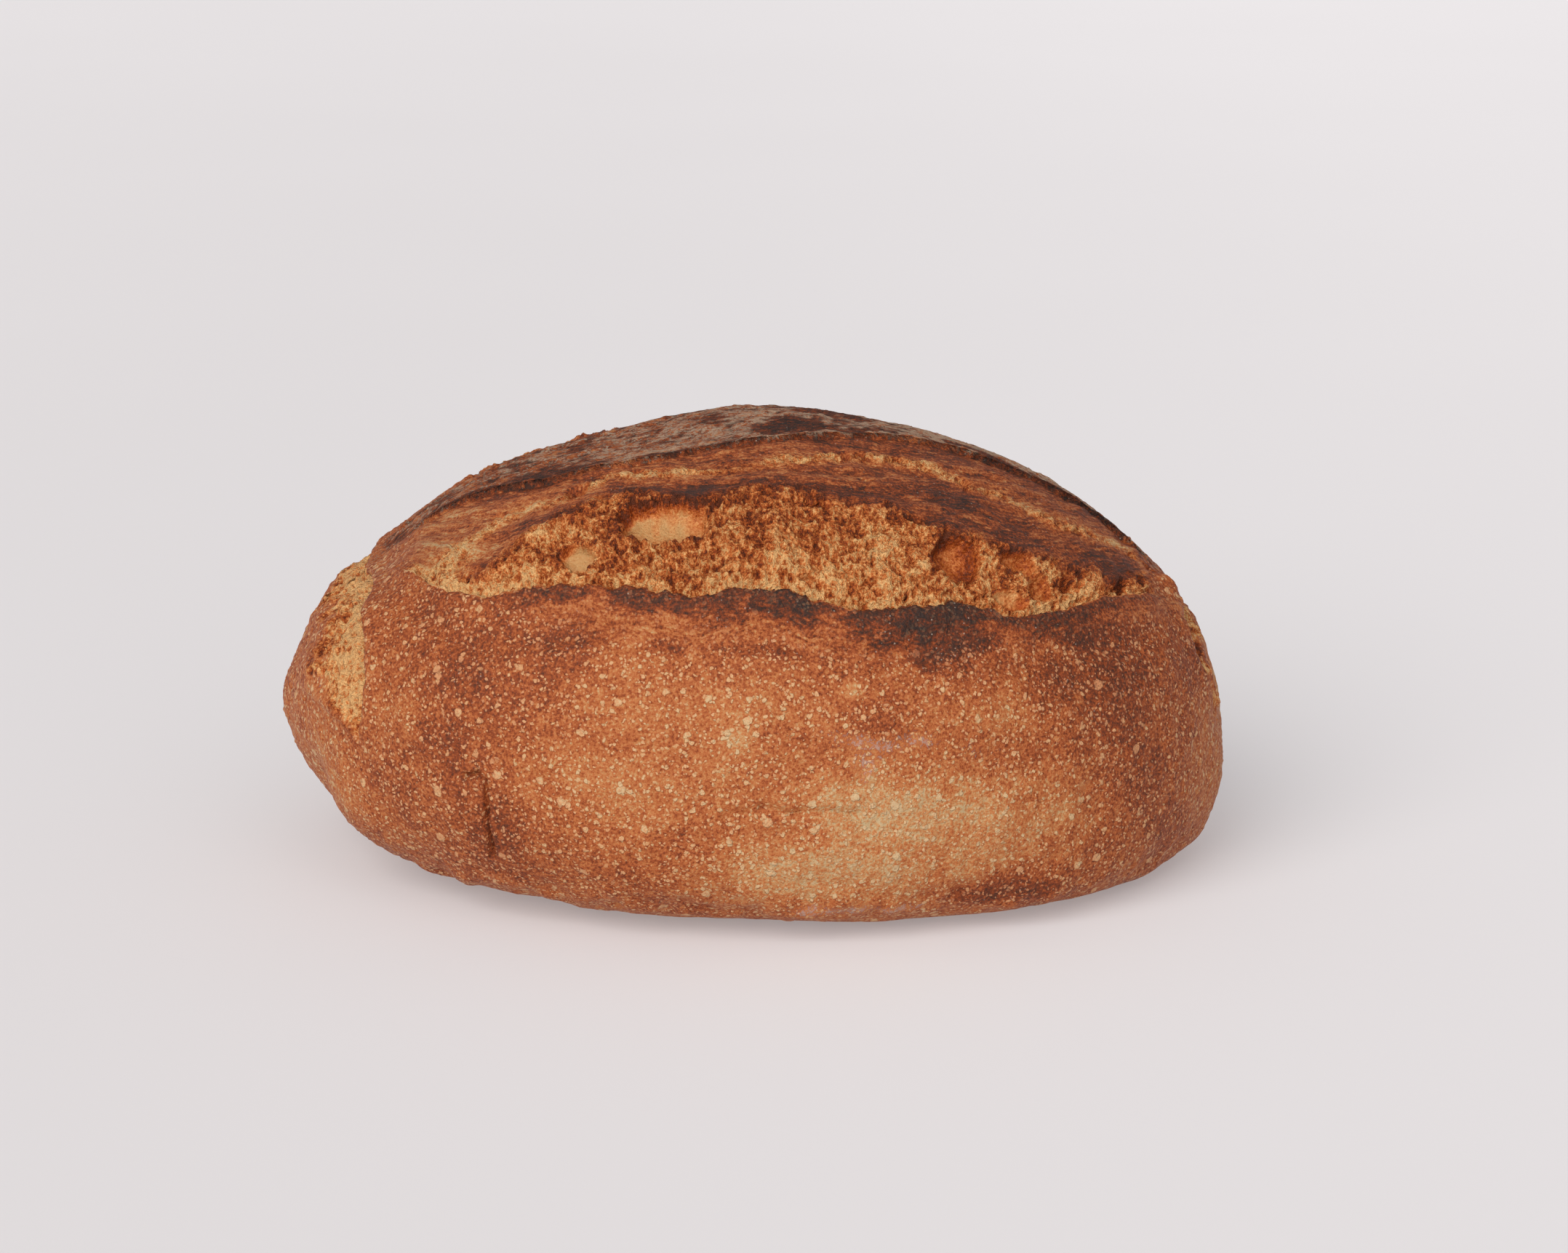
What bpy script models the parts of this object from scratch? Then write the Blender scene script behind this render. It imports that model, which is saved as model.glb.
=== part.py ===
"""White sourdough loaf, whole, modelled as one closed solid.

The loaf lies along X, stands on the floor at Z = 0 and shows its widest opened cut towards -Y.
A place on it is given by x, along its length, and by its turn: the angle about the long axis,
0 degrees at the middle of the base, 90 at the front wall, 180 at the top and 270 at the back wall.

The dough form is a rounded bun with a flat base. Four cuts, set in a square on the top before
baking, opened in the oven. They leave a square island of crust on top, a wide torn opening along
the front, a narrower one along the back, and a short one over each end.
"""

import bpy
import numpy as np

MM = 0.001

# The dough form
LENGTH = 260 * MM
HALF_DEPTH = 99 * MM
CROWN_HEIGHT = 119.8 * MM
BELT_HEIGHT_LEFT = 45.2 * MM
BELT_HEIGHT_RIGHT = 32.6 * MM
BELLY_DROP = 55.2 * MM
BASE_ROUNDING = 8 * MM
SECTION_EXPONENT = 2.5
# How full the form stays towards its left and right ends; 2 is an ellipse
CROWN_FULLNESS = (1.78, 2.03)
SIDE_FULLNESS = (2.07, 2.04)
BELLY_FULLNESS = (2.23, 2.93)

# Turns in degrees of the lines that bound the opened cuts, at stations along the loaf in mm
FRONT_LIP = {-130: 160, -112: 148, -96: 138, -84: 127, -68: 122, -20: 121.8, 6: 123.2, 30: 121.4,
             55: 124, 78: 126.5, 94: 133.7, 107: 141.5, 118: 154, 130: 165}
FRONT_RIDGE = {-130: 166, -100: 146, -84: 130.5, -68: 134, -50: 143, -10: 145.5, 25: 143.5, 45: 141,
               66: 139.8, 82: 142, 94: 146.5, 107: 152, 130: 170}
ISLAND_FRONT = {-130: 172, -96: 160, -70: 166, -34: 159.5, -8: 164.5, 12: 170, 30: 177, 60: 179.5,
                94: 175.5, 112: 174, 130: 176}
ISLAND_BACK = {-130: 190, -90: 200, -40: 207, 10: 211, 70: 207, 130: 190}
BACK_RIDGE = {-130: 194, -90: 214, -30: 221, 40: 222, 90: 216, 130: 194}
BACK_LIP = {-130: 198, -90: 226, -30: 235, 40: 236, 90: 228, 130: 198}

# The end cuts: x of the sharp inner edge at each turn, and the opening's width there, all in mm
LEFT_EDGE = {60: -105, 94: -103.8, 120: -103, 145: -104.6, 180: -108.5, 215: -106, 250: -103, 300: -104}
LEFT_WIDTH = {84: 0, 97: 7, 104: 11, 118: 14.5, 150: 17, 200: 17, 236: 12, 262: 0}
RIGHT_EDGE = {60: 124, 110: 124.4, 127: 122.9, 134: 119.8, 143: 117.2, 155: 115.4, 180: 114, 210: 115,
              250: 121, 300: 124}
RIGHT_WIDTH = {104: 0, 116: 1.6, 134: 3.6, 148: 5, 180: 7, 215: 6, 246: 0}
CUT_STEP = 2.6 * MM
CUT_RIM_RISE = 1.1 * MM

# Where the front and back cuts run out, from nothing to their full relief
FRONT_CUT_ENDS = (-101, -84, 100, 113)
BACK_CUT_ENDS = (-96, -72, 74, 98)

# Relief of a long cut: the curled lip, the crevice behind it, the ridge, the trough and the island's step
LIP_RISE = 1.6 * MM
LIP_SHARE = {-130: 0.5, -80: 0.7, -55: 1.0, -40: 1.35, -8: 1.5, 8: 1.2, 17: 0.7, 45: 1.1, 66: 0.6,
             100: 1.0, 130: 0.6}
LIP_REACH = 5 * MM
LIP_OVERHANG = 1.3 * MM
LIP_HOLLOW = 0.9 * MM
LIP_HOLLOW_DISTANCE = 13 * MM
CREVICE_DEPTH = 3.6 * MM
CREVICE_DISTANCE = 2.4 * MM
CREVICE_REACH = 2.0 * MM
RIDGE_RISE = 1.9 * MM
RIDGE_REACH = 4.5 * MM
TROUGH_DEPTH = 2.0 * MM
ISLAND_RISE = 1.3 * MM
ISLAND_REACH = 5 * MM
STEP_DEPTH = 1.6 * MM
STEP_REACH = 2.2 * MM
BACK_SHARE = 0.8

# Bubbles torn open in the crumb, in mm and degrees: (x, turn, half length, half height in mm, depth in mm)
POCKETS = (
    (-26, 137.5, 12.5, 6.2, 6.5),
    (-19, 128.5, 15, 6.5, 2.4),
    (-45.1, 129.3, 3.8, 3.4, 3.2),
    (53, 133.6, 6.2, 5.8, 4.2),
    (69.5, 136.6, 4.6, 3.2, 2.6),
    (75.5, 132.6, 3.6, 4.0, 2.8),
    (68.4, 128.8, 4.5, 2.6, 2.4),
    (-48.5, 150.2, 4.0, 2.2, 2.6),
    (17, 142.2, 4.8, 1.9, 2.0),
    (35, 226, 9, 6, 3.5),
    (-22, 229, 7, 5, 3.0),
    (118.6, 146, 1.9, 3.4, 2.6),
)

# Soft swellings and dents of the dough, in mm and degrees: (x, turn, reach in mm, rise in mm)
SWELLINGS = (
    (-120, 122, 16, -1.5),
    (-129, 84, 8, 1.3),
    (-119, 72, 8, -1.8),
    (-106, 66, 14, 2.4),
    (-101.5, 126, 7, 1.6),
    (117, 150, 6, 3.0),
    (122, 128, 5, 2.0),
    (98, 154, 26, 1.6),
    (126, 80, 16, 1.6),
    (84, 72, 22, 1.0),
    (2, 84, 16, -0.7),
    (-32, 72, 26, 1.0),
    (40, 178, 34, 0.9),
    (-45, 190, 28, -0.8),
    (30, 286, 30, 1.4),
    (-60, 268, 30, -1.3),
)

# Unevenness of the whole skin: wavelength and height of each layer
LUMPS = ((46 * MM, 1.1 * MM), (17 * MM, 0.5 * MM))
LUMP_SEED = 11

# Mesh: stations along the loaf, and rows round it in each zone
STATIONS = 96
ROWS = {"base_front": 3, "front_foot": 5, "front_wall": 10, "front_crumb": 9, "front_upper": 5,
        "island": 6, "back_upper": 3, "back_crumb": 5, "back_wall": 7, "back_foot": 5, "base_back": 3}
FOOT_TURNS = (46, 78)

CRUST_COLOUR = (0.42, 0.17, 0.06, 1.0)


def smoothstep(low, high, value):
    """0 below low, 1 above high, and a smooth rise between them."""
    share = np.clip((value - low) / (high - low), 0, 1)
    return share * share * (3 - 2 * share)


def bell(distance, reach):
    """A smooth hump, 1 at no distance and near 0 past twice the reach."""
    return np.exp(-(distance / reach) ** 2)


def through(stations, value):
    """A smooth curve through the stations {place: height}, read at value."""
    places = np.array(list(stations), float)
    heights = np.array(list(stations.values()), float)
    slopes = np.gradient(heights, places)
    value = np.clip(value, places[0], places[-1])
    index = np.clip(np.searchsorted(places, value, side="right") - 1, 0, len(places) - 2)
    span = places[index + 1] - places[index]
    share = (value - places[index]) / span
    rest = 1 - share
    return (heights[index] * rest * rest * (1 + 2 * share)
            + heights[index + 1] * share * share * (3 - 2 * share)
            + span * share * rest * (slopes[index] * rest - slopes[index + 1] * share))


def lattice_value(cells, seed):
    """A fixed pseudo-random number from -1 to 1 for each whole-numbered cell."""
    mixed = (cells[..., 0] * 374761393 + cells[..., 1] * 668265263
             + cells[..., 2] * 2147483647 + seed * 974634777) & 0xFFFFFFFF
    mixed = ((mixed ^ (mixed >> 13)) * 1274126177) & 0xFFFFFFFF
    return ((mixed ^ (mixed >> 16)) & 0xFFFF) / 32767.5 - 1


def noise(points, wavelength, seed):
    """Smooth noise from -1 to 1 in space, with bumps one wavelength apart."""
    scaled = points / wavelength
    cells = np.floor(scaled).astype(np.int64)
    share = scaled - cells
    share = share * share * share * (share * (share * 6 - 15) + 10)
    total = np.zeros(points.shape[:-1])
    for corner in np.ndindex(2, 2, 2):
        offset = np.array(corner)
        weight = np.prod(np.where(offset, share, 1 - share), axis=-1)
        total += weight * lattice_value(cells + offset, seed)
    return total


def kept_share(share, fullness):
    """How much of its middle size the form keeps at this share of its half length."""
    return (1 - np.abs(share) ** fullness) ** (1 / fullness)


def dough_form(x, turn):
    """Points of the form without cuts, for x in metres and turn in degrees."""
    share = np.clip(x / (LENGTH / 2), -1, 1)
    right = smoothstep(-1, 1, share)

    def from_left_to_right(pair):
        return pair[0] * (1 - right) + pair[1] * right

    belt = from_left_to_right((BELT_HEIGHT_LEFT, BELT_HEIGHT_RIGHT))
    crown = (CROWN_HEIGHT - belt) * kept_share(share, from_left_to_right(CROWN_FULLNESS))
    side = HALF_DEPTH * kept_share(share, from_left_to_right(SIDE_FULLNESS))
    belly = BELLY_DROP * kept_share(share, from_left_to_right(BELLY_FULLNESS))
    along_y = -np.sin(np.radians(turn))
    along_z = -np.cos(np.radians(turn))
    smallest = 1e-6
    height = np.maximum(np.where(along_z > 0, crown, belly), smallest)
    radius = ((np.abs(along_y) / np.maximum(side, smallest)) ** SECTION_EXPONENT
              + (np.abs(along_z) / height) ** SECTION_EXPONENT) ** (-1 / SECTION_EXPONENT)
    z = belt + along_z * radius
    rounded = (z + BASE_ROUNDING) ** 2 / (4 * BASE_ROUNDING)
    z = np.where(z < -BASE_ROUNDING, 0, np.where(z < BASE_ROUNDING, rounded, z))
    return np.stack(np.broadcast_arrays(x, along_y * radius, z), axis=-1), radius


def directions(points):
    """Outward normals, and unit vectors along rising turn, of a grid of points."""
    along_x = np.gradient(points, axis=0)
    closed = np.concatenate([points[:, -1:], points, points[:, :1]], axis=1)
    along_turn = np.gradient(closed, axis=1)[:, 1:-1]
    normal = np.cross(along_x, along_turn)
    normal /= np.linalg.norm(normal, axis=-1, keepdims=True) + 1e-12
    along_turn /= np.linalg.norm(along_turn, axis=-1, keepdims=True) + 1e-12
    return normal, along_turn


def long_cut(x, turn, radius, lines, ends, side):
    """Relief of a long cut and how far its lip leans over it.

    lines holds the turns of its lip, ridge and island edge. side is 1 where the turn rises from
    the lip to the island, as at the front, and -1 at the back.
    """
    station = x / MM
    lip, ridge, island = (through(line, station) for line in lines)
    extent = smoothstep(ends[0], ends[1], station) * (1 - smoothstep(ends[2], ends[3], station))
    from_lip = side * np.radians(turn - lip) * radius
    from_ridge = side * np.radians(turn - ridge) * radius
    from_island = side * np.radians(turn - island) * radius
    upper = np.clip(side * (turn - ridge) / np.maximum(side * (island - ridge), 1e-3), 0, 1)
    wall = from_lip < 0
    inside = (from_lip >= 0) & (from_island < 0)
    rise = LIP_RISE * through(LIP_SHARE, station)
    relief = np.where(wall, rise * bell(from_lip, LIP_REACH)
                      - LIP_HOLLOW * bell(from_lip + LIP_HOLLOW_DISTANCE, LIP_REACH), 0)
    lip_fade = rise * bell(from_lip, CREVICE_REACH / 2)
    crevice = CREVICE_DEPTH * bell(from_lip - CREVICE_DISTANCE, CREVICE_REACH)
    torn = (lip_fade - crevice + RIDGE_RISE * bell(from_ridge, RIDGE_REACH)
            - TROUGH_DEPTH * np.sin(np.pi * upper) - STEP_DEPTH * bell(from_island, STEP_REACH))
    relief = relief + np.where(inside, torn, 0)
    relief = relief + np.where(from_island >= 0, ISLAND_RISE * bell(from_island, ISLAND_REACH), 0)
    overhang = side * LIP_OVERHANG * bell(from_lip, CREVICE_REACH / 2)
    return relief * extent, overhang * extent


def end_cut(x, turn, edges, widths, side):
    """Relief of a cut over one end: a sharp step at its inner edge, rising to its outer rim."""
    edge = through(edges, turn) * MM
    width = through(widths, turn) * MM
    outward = side * (x - edge)
    share = outward / np.maximum(width, 1e-6)
    opened = smoothstep(0, 4 * MM, width)
    floor = -CUT_STEP * np.clip(1 - share, 0, 1) ** 1.4
    rim = CUT_RIM_RISE * bell(share - 1.1, 0.25)
    return np.where(outward > 0, (floor + rim) * opened, 0)


def pockets(x, turn, radius):
    """Hollows of the torn bubbles."""
    relief = 0
    for at_x, at_turn, half_length, half_height, depth in POCKETS:
        along = (x / MM - at_x) / half_length
        around = np.radians(turn - at_turn) * radius / MM / half_height
        relief = relief - depth * MM * smoothstep(1.12, 0.55, np.hypot(along, around))
    return relief


def swellings(points):
    """Soft lumps and dents, by distance in space."""
    relief = 0
    for at_x, at_turn, reach, rise in SWELLINGS:
        centre, _ = dough_form(np.array(at_x * MM), np.array(float(at_turn)))
        relief = relief + rise * MM * bell(np.linalg.norm(points - centre, axis=-1), reach * MM)
    for wavelength, height in LUMPS:
        relief = relief + height * noise(points, wavelength, LUMP_SEED)
    return relief


def graded(count, gathering):
    """Shares from 0 to below 1, closer together near 0 as gathering grows past 1."""
    return (np.arange(count) / count) ** gathering


def turn_rows(station):
    """Turns of the rows round the loaf at each station in mm, so that rows follow the cuts' edges."""
    lines = [through(line, station) for line in
             (FRONT_LIP, FRONT_RIDGE, ISLAND_FRONT, ISLAND_BACK, BACK_RIDGE, BACK_LIP)]
    lip, ridge, island, island_back, ridge_back, lip_back = lines
    flat = np.zeros_like(station)
    zones = (
        ("base_front", flat, flat + FOOT_TURNS[0], False, 1.0),
        ("front_foot", flat + FOOT_TURNS[0], flat + FOOT_TURNS[1], False, 1.0),
        ("front_wall", flat + FOOT_TURNS[1], lip, True, 1.35),
        ("front_crumb", lip, ridge, False, 1.35),
        ("front_upper", ridge, island, False, 1.0),
        ("island", island, island_back, False, 1.0),
        ("back_upper", island_back, ridge_back, False, 1.0),
        ("back_crumb", ridge_back, lip_back, True, 1.3),
        ("back_wall", lip_back, 360 - flat - FOOT_TURNS[1], False, 1.3),
        ("back_foot", 360 - flat - FOOT_TURNS[1], 360 - flat - FOOT_TURNS[0], False, 1.0),
        ("base_back", 360 - flat - FOOT_TURNS[0], flat + 360, False, 1.0),
    )
    rows = []
    for name, start, end, gathers_at_end, gathering in zones:
        shares = graded(ROWS[name], gathering)
        if gathers_at_end:
            shares = 1 - ((ROWS[name] - np.arange(ROWS[name])) / ROWS[name]) ** gathering
        rows += [start * (1 - share) + end * share for share in shares]
    return np.stack(rows, axis=-1)


def stations_along():
    """x of every station between the ends, with a pair of stations that straddles each end cut's edge."""
    steps = np.arange(1, STATIONS) / STATIONS
    return -np.cos(np.pi * steps) * LENGTH / 2


def warped(x, turn):
    """x moved so that the nearest stations fall on the end cuts' sharp edges at every turn."""
    for edges, side in ((LEFT_EDGE, -1), (RIGHT_EDGE, 1)):
        edge = through(edges, turn) * MM
        middle = np.mean(list(edges.values())) * MM
        nearest = x[np.argmin(np.abs(x[:, 0] - middle)), 0]
        room = LENGTH / 2 - abs(nearest)
        outer = np.clip((LENGTH / 2 - side * x) / room, 0, 1)
        inner = bell(np.maximum(side * (nearest - x), 0), 22 * MM)
        x = x + (edge - nearest) * np.where(side * x > side * nearest, outer, inner)
    return x


def loaf_points():
    """Grid of points, stations by rows, of the baked loaf, and the two end points."""
    x = stations_along()[:, None]
    turn = turn_rows(x[:, 0] / MM)
    x = warped(x + 0 * turn, turn)
    points, radius = dough_form(x, turn)
    normal, along_turn = directions(points)
    front, lean_front = long_cut(x, turn, radius, (FRONT_LIP, FRONT_RIDGE, ISLAND_FRONT), FRONT_CUT_ENDS, 1)
    back, lean_back = long_cut(x, turn, radius, (BACK_LIP, BACK_RIDGE, ISLAND_BACK), BACK_CUT_ENDS, -1)
    relief = front + BACK_SHARE * back
    relief = relief + end_cut(x, turn, LEFT_EDGE, LEFT_WIDTH, -1) + end_cut(x, turn, RIGHT_EDGE, RIGHT_WIDTH, 1)
    relief = relief + pockets(x, turn, radius) + swellings(points)
    relief = relief * smoothstep(0, BASE_ROUNDING, points[..., 2])
    baked = points + normal * relief[..., None] + along_turn * (lean_front + BACK_SHARE * lean_back)[..., None]
    baked[..., 2] = np.where(points[..., 2] <= 0, 0, np.maximum(baked[..., 2], 0))
    tips = np.array([dough_form(np.array(side * LENGTH / 2), np.array(90.0))[0] for side in (-1, 1)])
    return baked, tips


def loaf_mesh():
    """The closed mesh, with the middle of its box's base at the origin."""
    grid, tips = loaf_points()
    stations, rows = grid.shape[:2]
    vertices = np.concatenate([grid.reshape(-1, 3), tips])
    low, high = vertices.min(axis=0), vertices.max(axis=0)
    vertices -= np.array([(low[0] + high[0]) / 2, (low[1] + high[1]) / 2, low[2]])
    left_tip, right_tip = stations * rows, stations * rows + 1

    def at(station, row):
        return station * rows + row % rows

    faces = [(at(i, j), at(i + 1, j), at(i + 1, j + 1), at(i, j + 1))
             for i in range(stations - 1) for j in range(rows)]
    faces += [(left_tip, at(0, j), at(0, j + 1)) for j in range(rows)]
    faces += [(right_tip, at(stations - 1, j + 1), at(stations - 1, j)) for j in range(rows)]
    mesh = bpy.data.meshes.new("loaf")
    mesh.from_pydata(vertices.tolist(), [], faces)
    mesh.validate()
    mesh.shade_smooth()
    return mesh


def crust_material():
    """Browned crust."""
    material = bpy.data.materials.new("crust")
    material.use_nodes = True
    shader = material.node_tree.nodes["Principled BSDF"]
    shader.inputs["Base Color"].default_value = CRUST_COLOUR
    shader.inputs["Roughness"].default_value = 0.62
    shader.inputs["Metallic"].default_value = 0.0
    return material


def main():
    for leftover in list(bpy.data.objects):
        bpy.data.objects.remove(leftover)
    mesh = loaf_mesh()
    mesh.materials.append(crust_material())
    loaf = bpy.data.objects.new("loaf", mesh)
    bpy.context.scene.collection.objects.link(loaf)


main()
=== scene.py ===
"""White sourdough loaf: its looks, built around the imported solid.

The loaf lies along X and shows its widest opened cut towards -Y. A place on its skin is given by x,
along its length, and by its turn, the angle about the long axis: 0 degrees at the middle of the base,
90 at the front wall, 180 at the top and 270 at the back wall. Lengths are in mm until a mesh is made.
"""

import logging
import math
from dataclasses import dataclass, field
from enum import Enum
from typing import Any, Union

import bpy
import numpy as np
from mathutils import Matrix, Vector


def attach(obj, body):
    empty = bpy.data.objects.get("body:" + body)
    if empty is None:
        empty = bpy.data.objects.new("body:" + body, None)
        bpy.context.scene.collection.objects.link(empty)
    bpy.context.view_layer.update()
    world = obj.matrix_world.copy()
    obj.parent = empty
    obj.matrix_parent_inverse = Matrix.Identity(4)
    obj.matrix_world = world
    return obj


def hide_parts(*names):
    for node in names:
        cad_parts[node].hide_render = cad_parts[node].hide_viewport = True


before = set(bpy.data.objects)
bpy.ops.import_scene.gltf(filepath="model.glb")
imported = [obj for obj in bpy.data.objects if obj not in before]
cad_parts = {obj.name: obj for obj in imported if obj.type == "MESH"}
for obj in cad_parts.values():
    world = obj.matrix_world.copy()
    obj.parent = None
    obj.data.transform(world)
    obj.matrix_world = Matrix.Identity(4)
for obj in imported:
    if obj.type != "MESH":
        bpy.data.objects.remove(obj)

Array = np.ndarray
Colour = tuple[float, float, float]
Stations = dict[float, float]

LOG = logging.getLogger("loaf")
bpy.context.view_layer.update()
MM = 0.001
# Keeps a length of 0 from being divided by.
TINY = 1e-12
# Beyond any distance that is looked for, and the least radius in mm that a turn is worked out with.
FAR = 99.0
NARROWEST = 8.0
# Odd numbers that scramble a cell and a seed into a number of its own.
CELL_FACTORS = (374761393, 668265263, 2147483647)
SEED_FACTOR = 974634777
MIXING_FACTOR = 1274126177
LOW_BITS = 0xFFFFFFFF


class Patch(Enum):
    """Kinds of patch on the crust, by how much darker than the rest they baked."""

    PALE = -0.34
    GOLD = -0.18
    RED = 0.13
    DARK = 0.22
    CHAR = 0.50
    FLOUR = 0.0


def smoothstep(low: float, high: float, value: Array) -> Array:
    """A smooth rise from 0 at low to 1 at high.

    Args:
        low: Where the rise starts. It may be above high, and the value then falls.
        high: Where the rise ends.
        value: Values to read.

    Returns:
        Shares from 0 to 1.
    """
    share = np.clip((value - low) / (high - low), 0, 1)
    return share * share * (3 - 2 * share)


def bell(distance: Array, reach: float) -> Array:
    """A smooth hump, 1 at no distance and near 0 past twice the reach."""
    return np.exp(-(distance / reach) ** 2)


def through(stations: Stations, value: Array) -> Array:
    """A smooth curve through stations.

    Args:
        stations: Height of the curve at each place, in rising order.
        value: Places to read.

    Returns:
        Heights at those places. Beyond the ends the curve is level.
    """
    places = np.array(list(stations), float)
    heights = np.array(list(stations.values()), float)
    slopes = np.gradient(heights, places)
    value = np.clip(value, places[0], places[-1])
    index = np.clip(np.searchsorted(places, value, side="right") - 1, 0, len(places) - 2)
    span = places[index + 1] - places[index]
    share = (value - places[index]) / span
    rest = 1 - share
    return (heights[index] * rest * rest * (1 + 2 * share)
            + heights[index + 1] * share * share * (3 - 2 * share)
            + span * share * rest * (slopes[index] * rest - slopes[index + 1] * share))


def lattice_value(cells: Array, seed: int) -> Array:
    """A fixed pseudo-random number from -1 to 1 for each whole-numbered cell."""
    mixed = sum(cells[..., axis] * factor for axis, factor in enumerate(CELL_FACTORS))
    mixed = (mixed + seed * SEED_FACTOR) & LOW_BITS
    mixed = ((mixed ^ (mixed >> 13)) * MIXING_FACTOR) & LOW_BITS
    return ((mixed ^ (mixed >> 16)) & 0xFFFF) / 32767.5 - 1


def noise(points: Array, wavelength: float, seed: int) -> Array:
    """Smooth noise in space.

    Args:
        points: Places, with x, y and z last.
        wavelength: Distance from one bump to the next.
        seed: Which noise.

    Returns:
        Values from -1 to 1.
    """
    scaled = points / wavelength
    cells = np.floor(scaled).astype(np.int64)
    share = scaled - cells
    share = share * share * share * (share * (share * 6 - 15) + 10)
    total = np.zeros(points.shape[:-1])
    for corner in np.ndindex(2, 2, 2):
        offset = np.array(corner)
        weight = np.prod(np.where(offset, share, 1 - share), axis=-1)
        total += weight * lattice_value(cells + offset, seed)
    return total


OCTAVE_TURN = np.array([[0.36, 0.48, -0.8], [-0.8, 0.6, 0.0], [0.48, 0.64, 0.6]])


def fractal(points: Array, wavelength: float, octaves: int, seed: int) -> Array:
    """Noise summed over ever finer octaves, each turned against the last so that no grid shows.

    Args:
        points: Places, with x, y and z last.
        wavelength: Distance between the broadest bumps.
        octaves: How many layers, each half as broad and half as high as the one before.
        seed: Which noise.

    Returns:
        Values from about -1 to 1.
    """
    total = np.zeros(points.shape[:-1])
    height, sum_of_heights = 1.0, 0.0
    for octave in range(octaves):
        points = points @ OCTAVE_TURN
        total += height * noise(points, wavelength / 2 ** octave, seed + octave)
        sum_of_heights += height
        height /= 2
    return total / sum_of_heights * 1.5


def nearest_seeds(points: Array, size: float, seed: int) -> tuple[Array, Array, Array]:
    """The nearest of scattered seeds, one in each cell of a lattice.

    Args:
        points: Places, with x, y and z last.
        size: Width of a cell.
        seed: Which scatter.

    Returns:
        Distances to the nearest seed and to the next one, in cell widths, and the nearest seed's own
        number from -1 to 1.
    """
    scaled = points / size
    base = np.floor(scaled).astype(np.int64)
    first = np.full(points.shape[:-1], FAR)
    second = np.full(points.shape[:-1], FAR)
    own = np.zeros(points.shape[:-1])
    for corner in np.ndindex(3, 3, 3):
        cell = base + np.array(corner) - 1
        place = np.stack([lattice_value(cell, seed + axis) for axis in range(3)], axis=-1) * 0.5 + 0.5
        distance = np.linalg.norm(cell + place - scaled, axis=-1)
        closer = distance < first
        second = np.where(closer, first, np.minimum(second, distance))
        first = np.where(closer, distance, first)
        own = np.where(closer, lattice_value(cell, seed + 3), own)
    return first, second, own


def domes(points: Array, size: float, seed: int, kept: float, radius: float) -> Array:
    """Scattered round domes.

    Args:
        points: Places, with x, y and z last.
        size: Mean distance between domes, if all were kept.
        seed: Which scatter.
        kept: Share of the domes that are kept.
        radius: Largest radius of a dome, in cell widths.

    Returns:
        Heights from 0 to 1.
    """
    distance, _, own = nearest_seeds(points, size, seed)
    share = own * 0.5 + 0.5
    reach = radius * (0.45 + 0.55 * share / kept)
    return np.where(share < kept, smoothstep(1.0, 0.35, distance / reach), 0.0)


def unit(vectors: Array) -> Array:
    """The vectors, each brought to length 1."""
    return vectors / (np.linalg.norm(vectors, axis=-1, keepdims=True) + TINY)


def stretched(points: Array, along: float, across: float = 1.0) -> Array:
    """Places scaled along the loaf and across it, so that noise read there is drawn out."""
    return points * np.array([along, across, 1.0])


def turn_of(length: float, radius: Array) -> Array:
    """The turn in degrees that a length in mm takes up on the skin at this radius."""
    return np.degrees(length / np.maximum(radius, NARROWEST))


def directions(points: Array) -> tuple[Array, Array]:
    """Outward normals, and unit vectors along rising turn, of a grid of points round the loaf."""
    along_x = np.gradient(points, axis=0)
    closed = np.concatenate([points[:, -1:], points, points[:, :1]], axis=1)
    along_turn = np.gradient(closed, axis=1)[:, 1:-1]
    return unit(np.cross(along_x, along_turn)), unit(along_turn)


@dataclass
class Swelling:
    """A soft lump or dent of the dough, at x and turn, with its reach and rise in mm."""

    x: float
    turn: float
    reach: float
    rise: float


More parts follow.
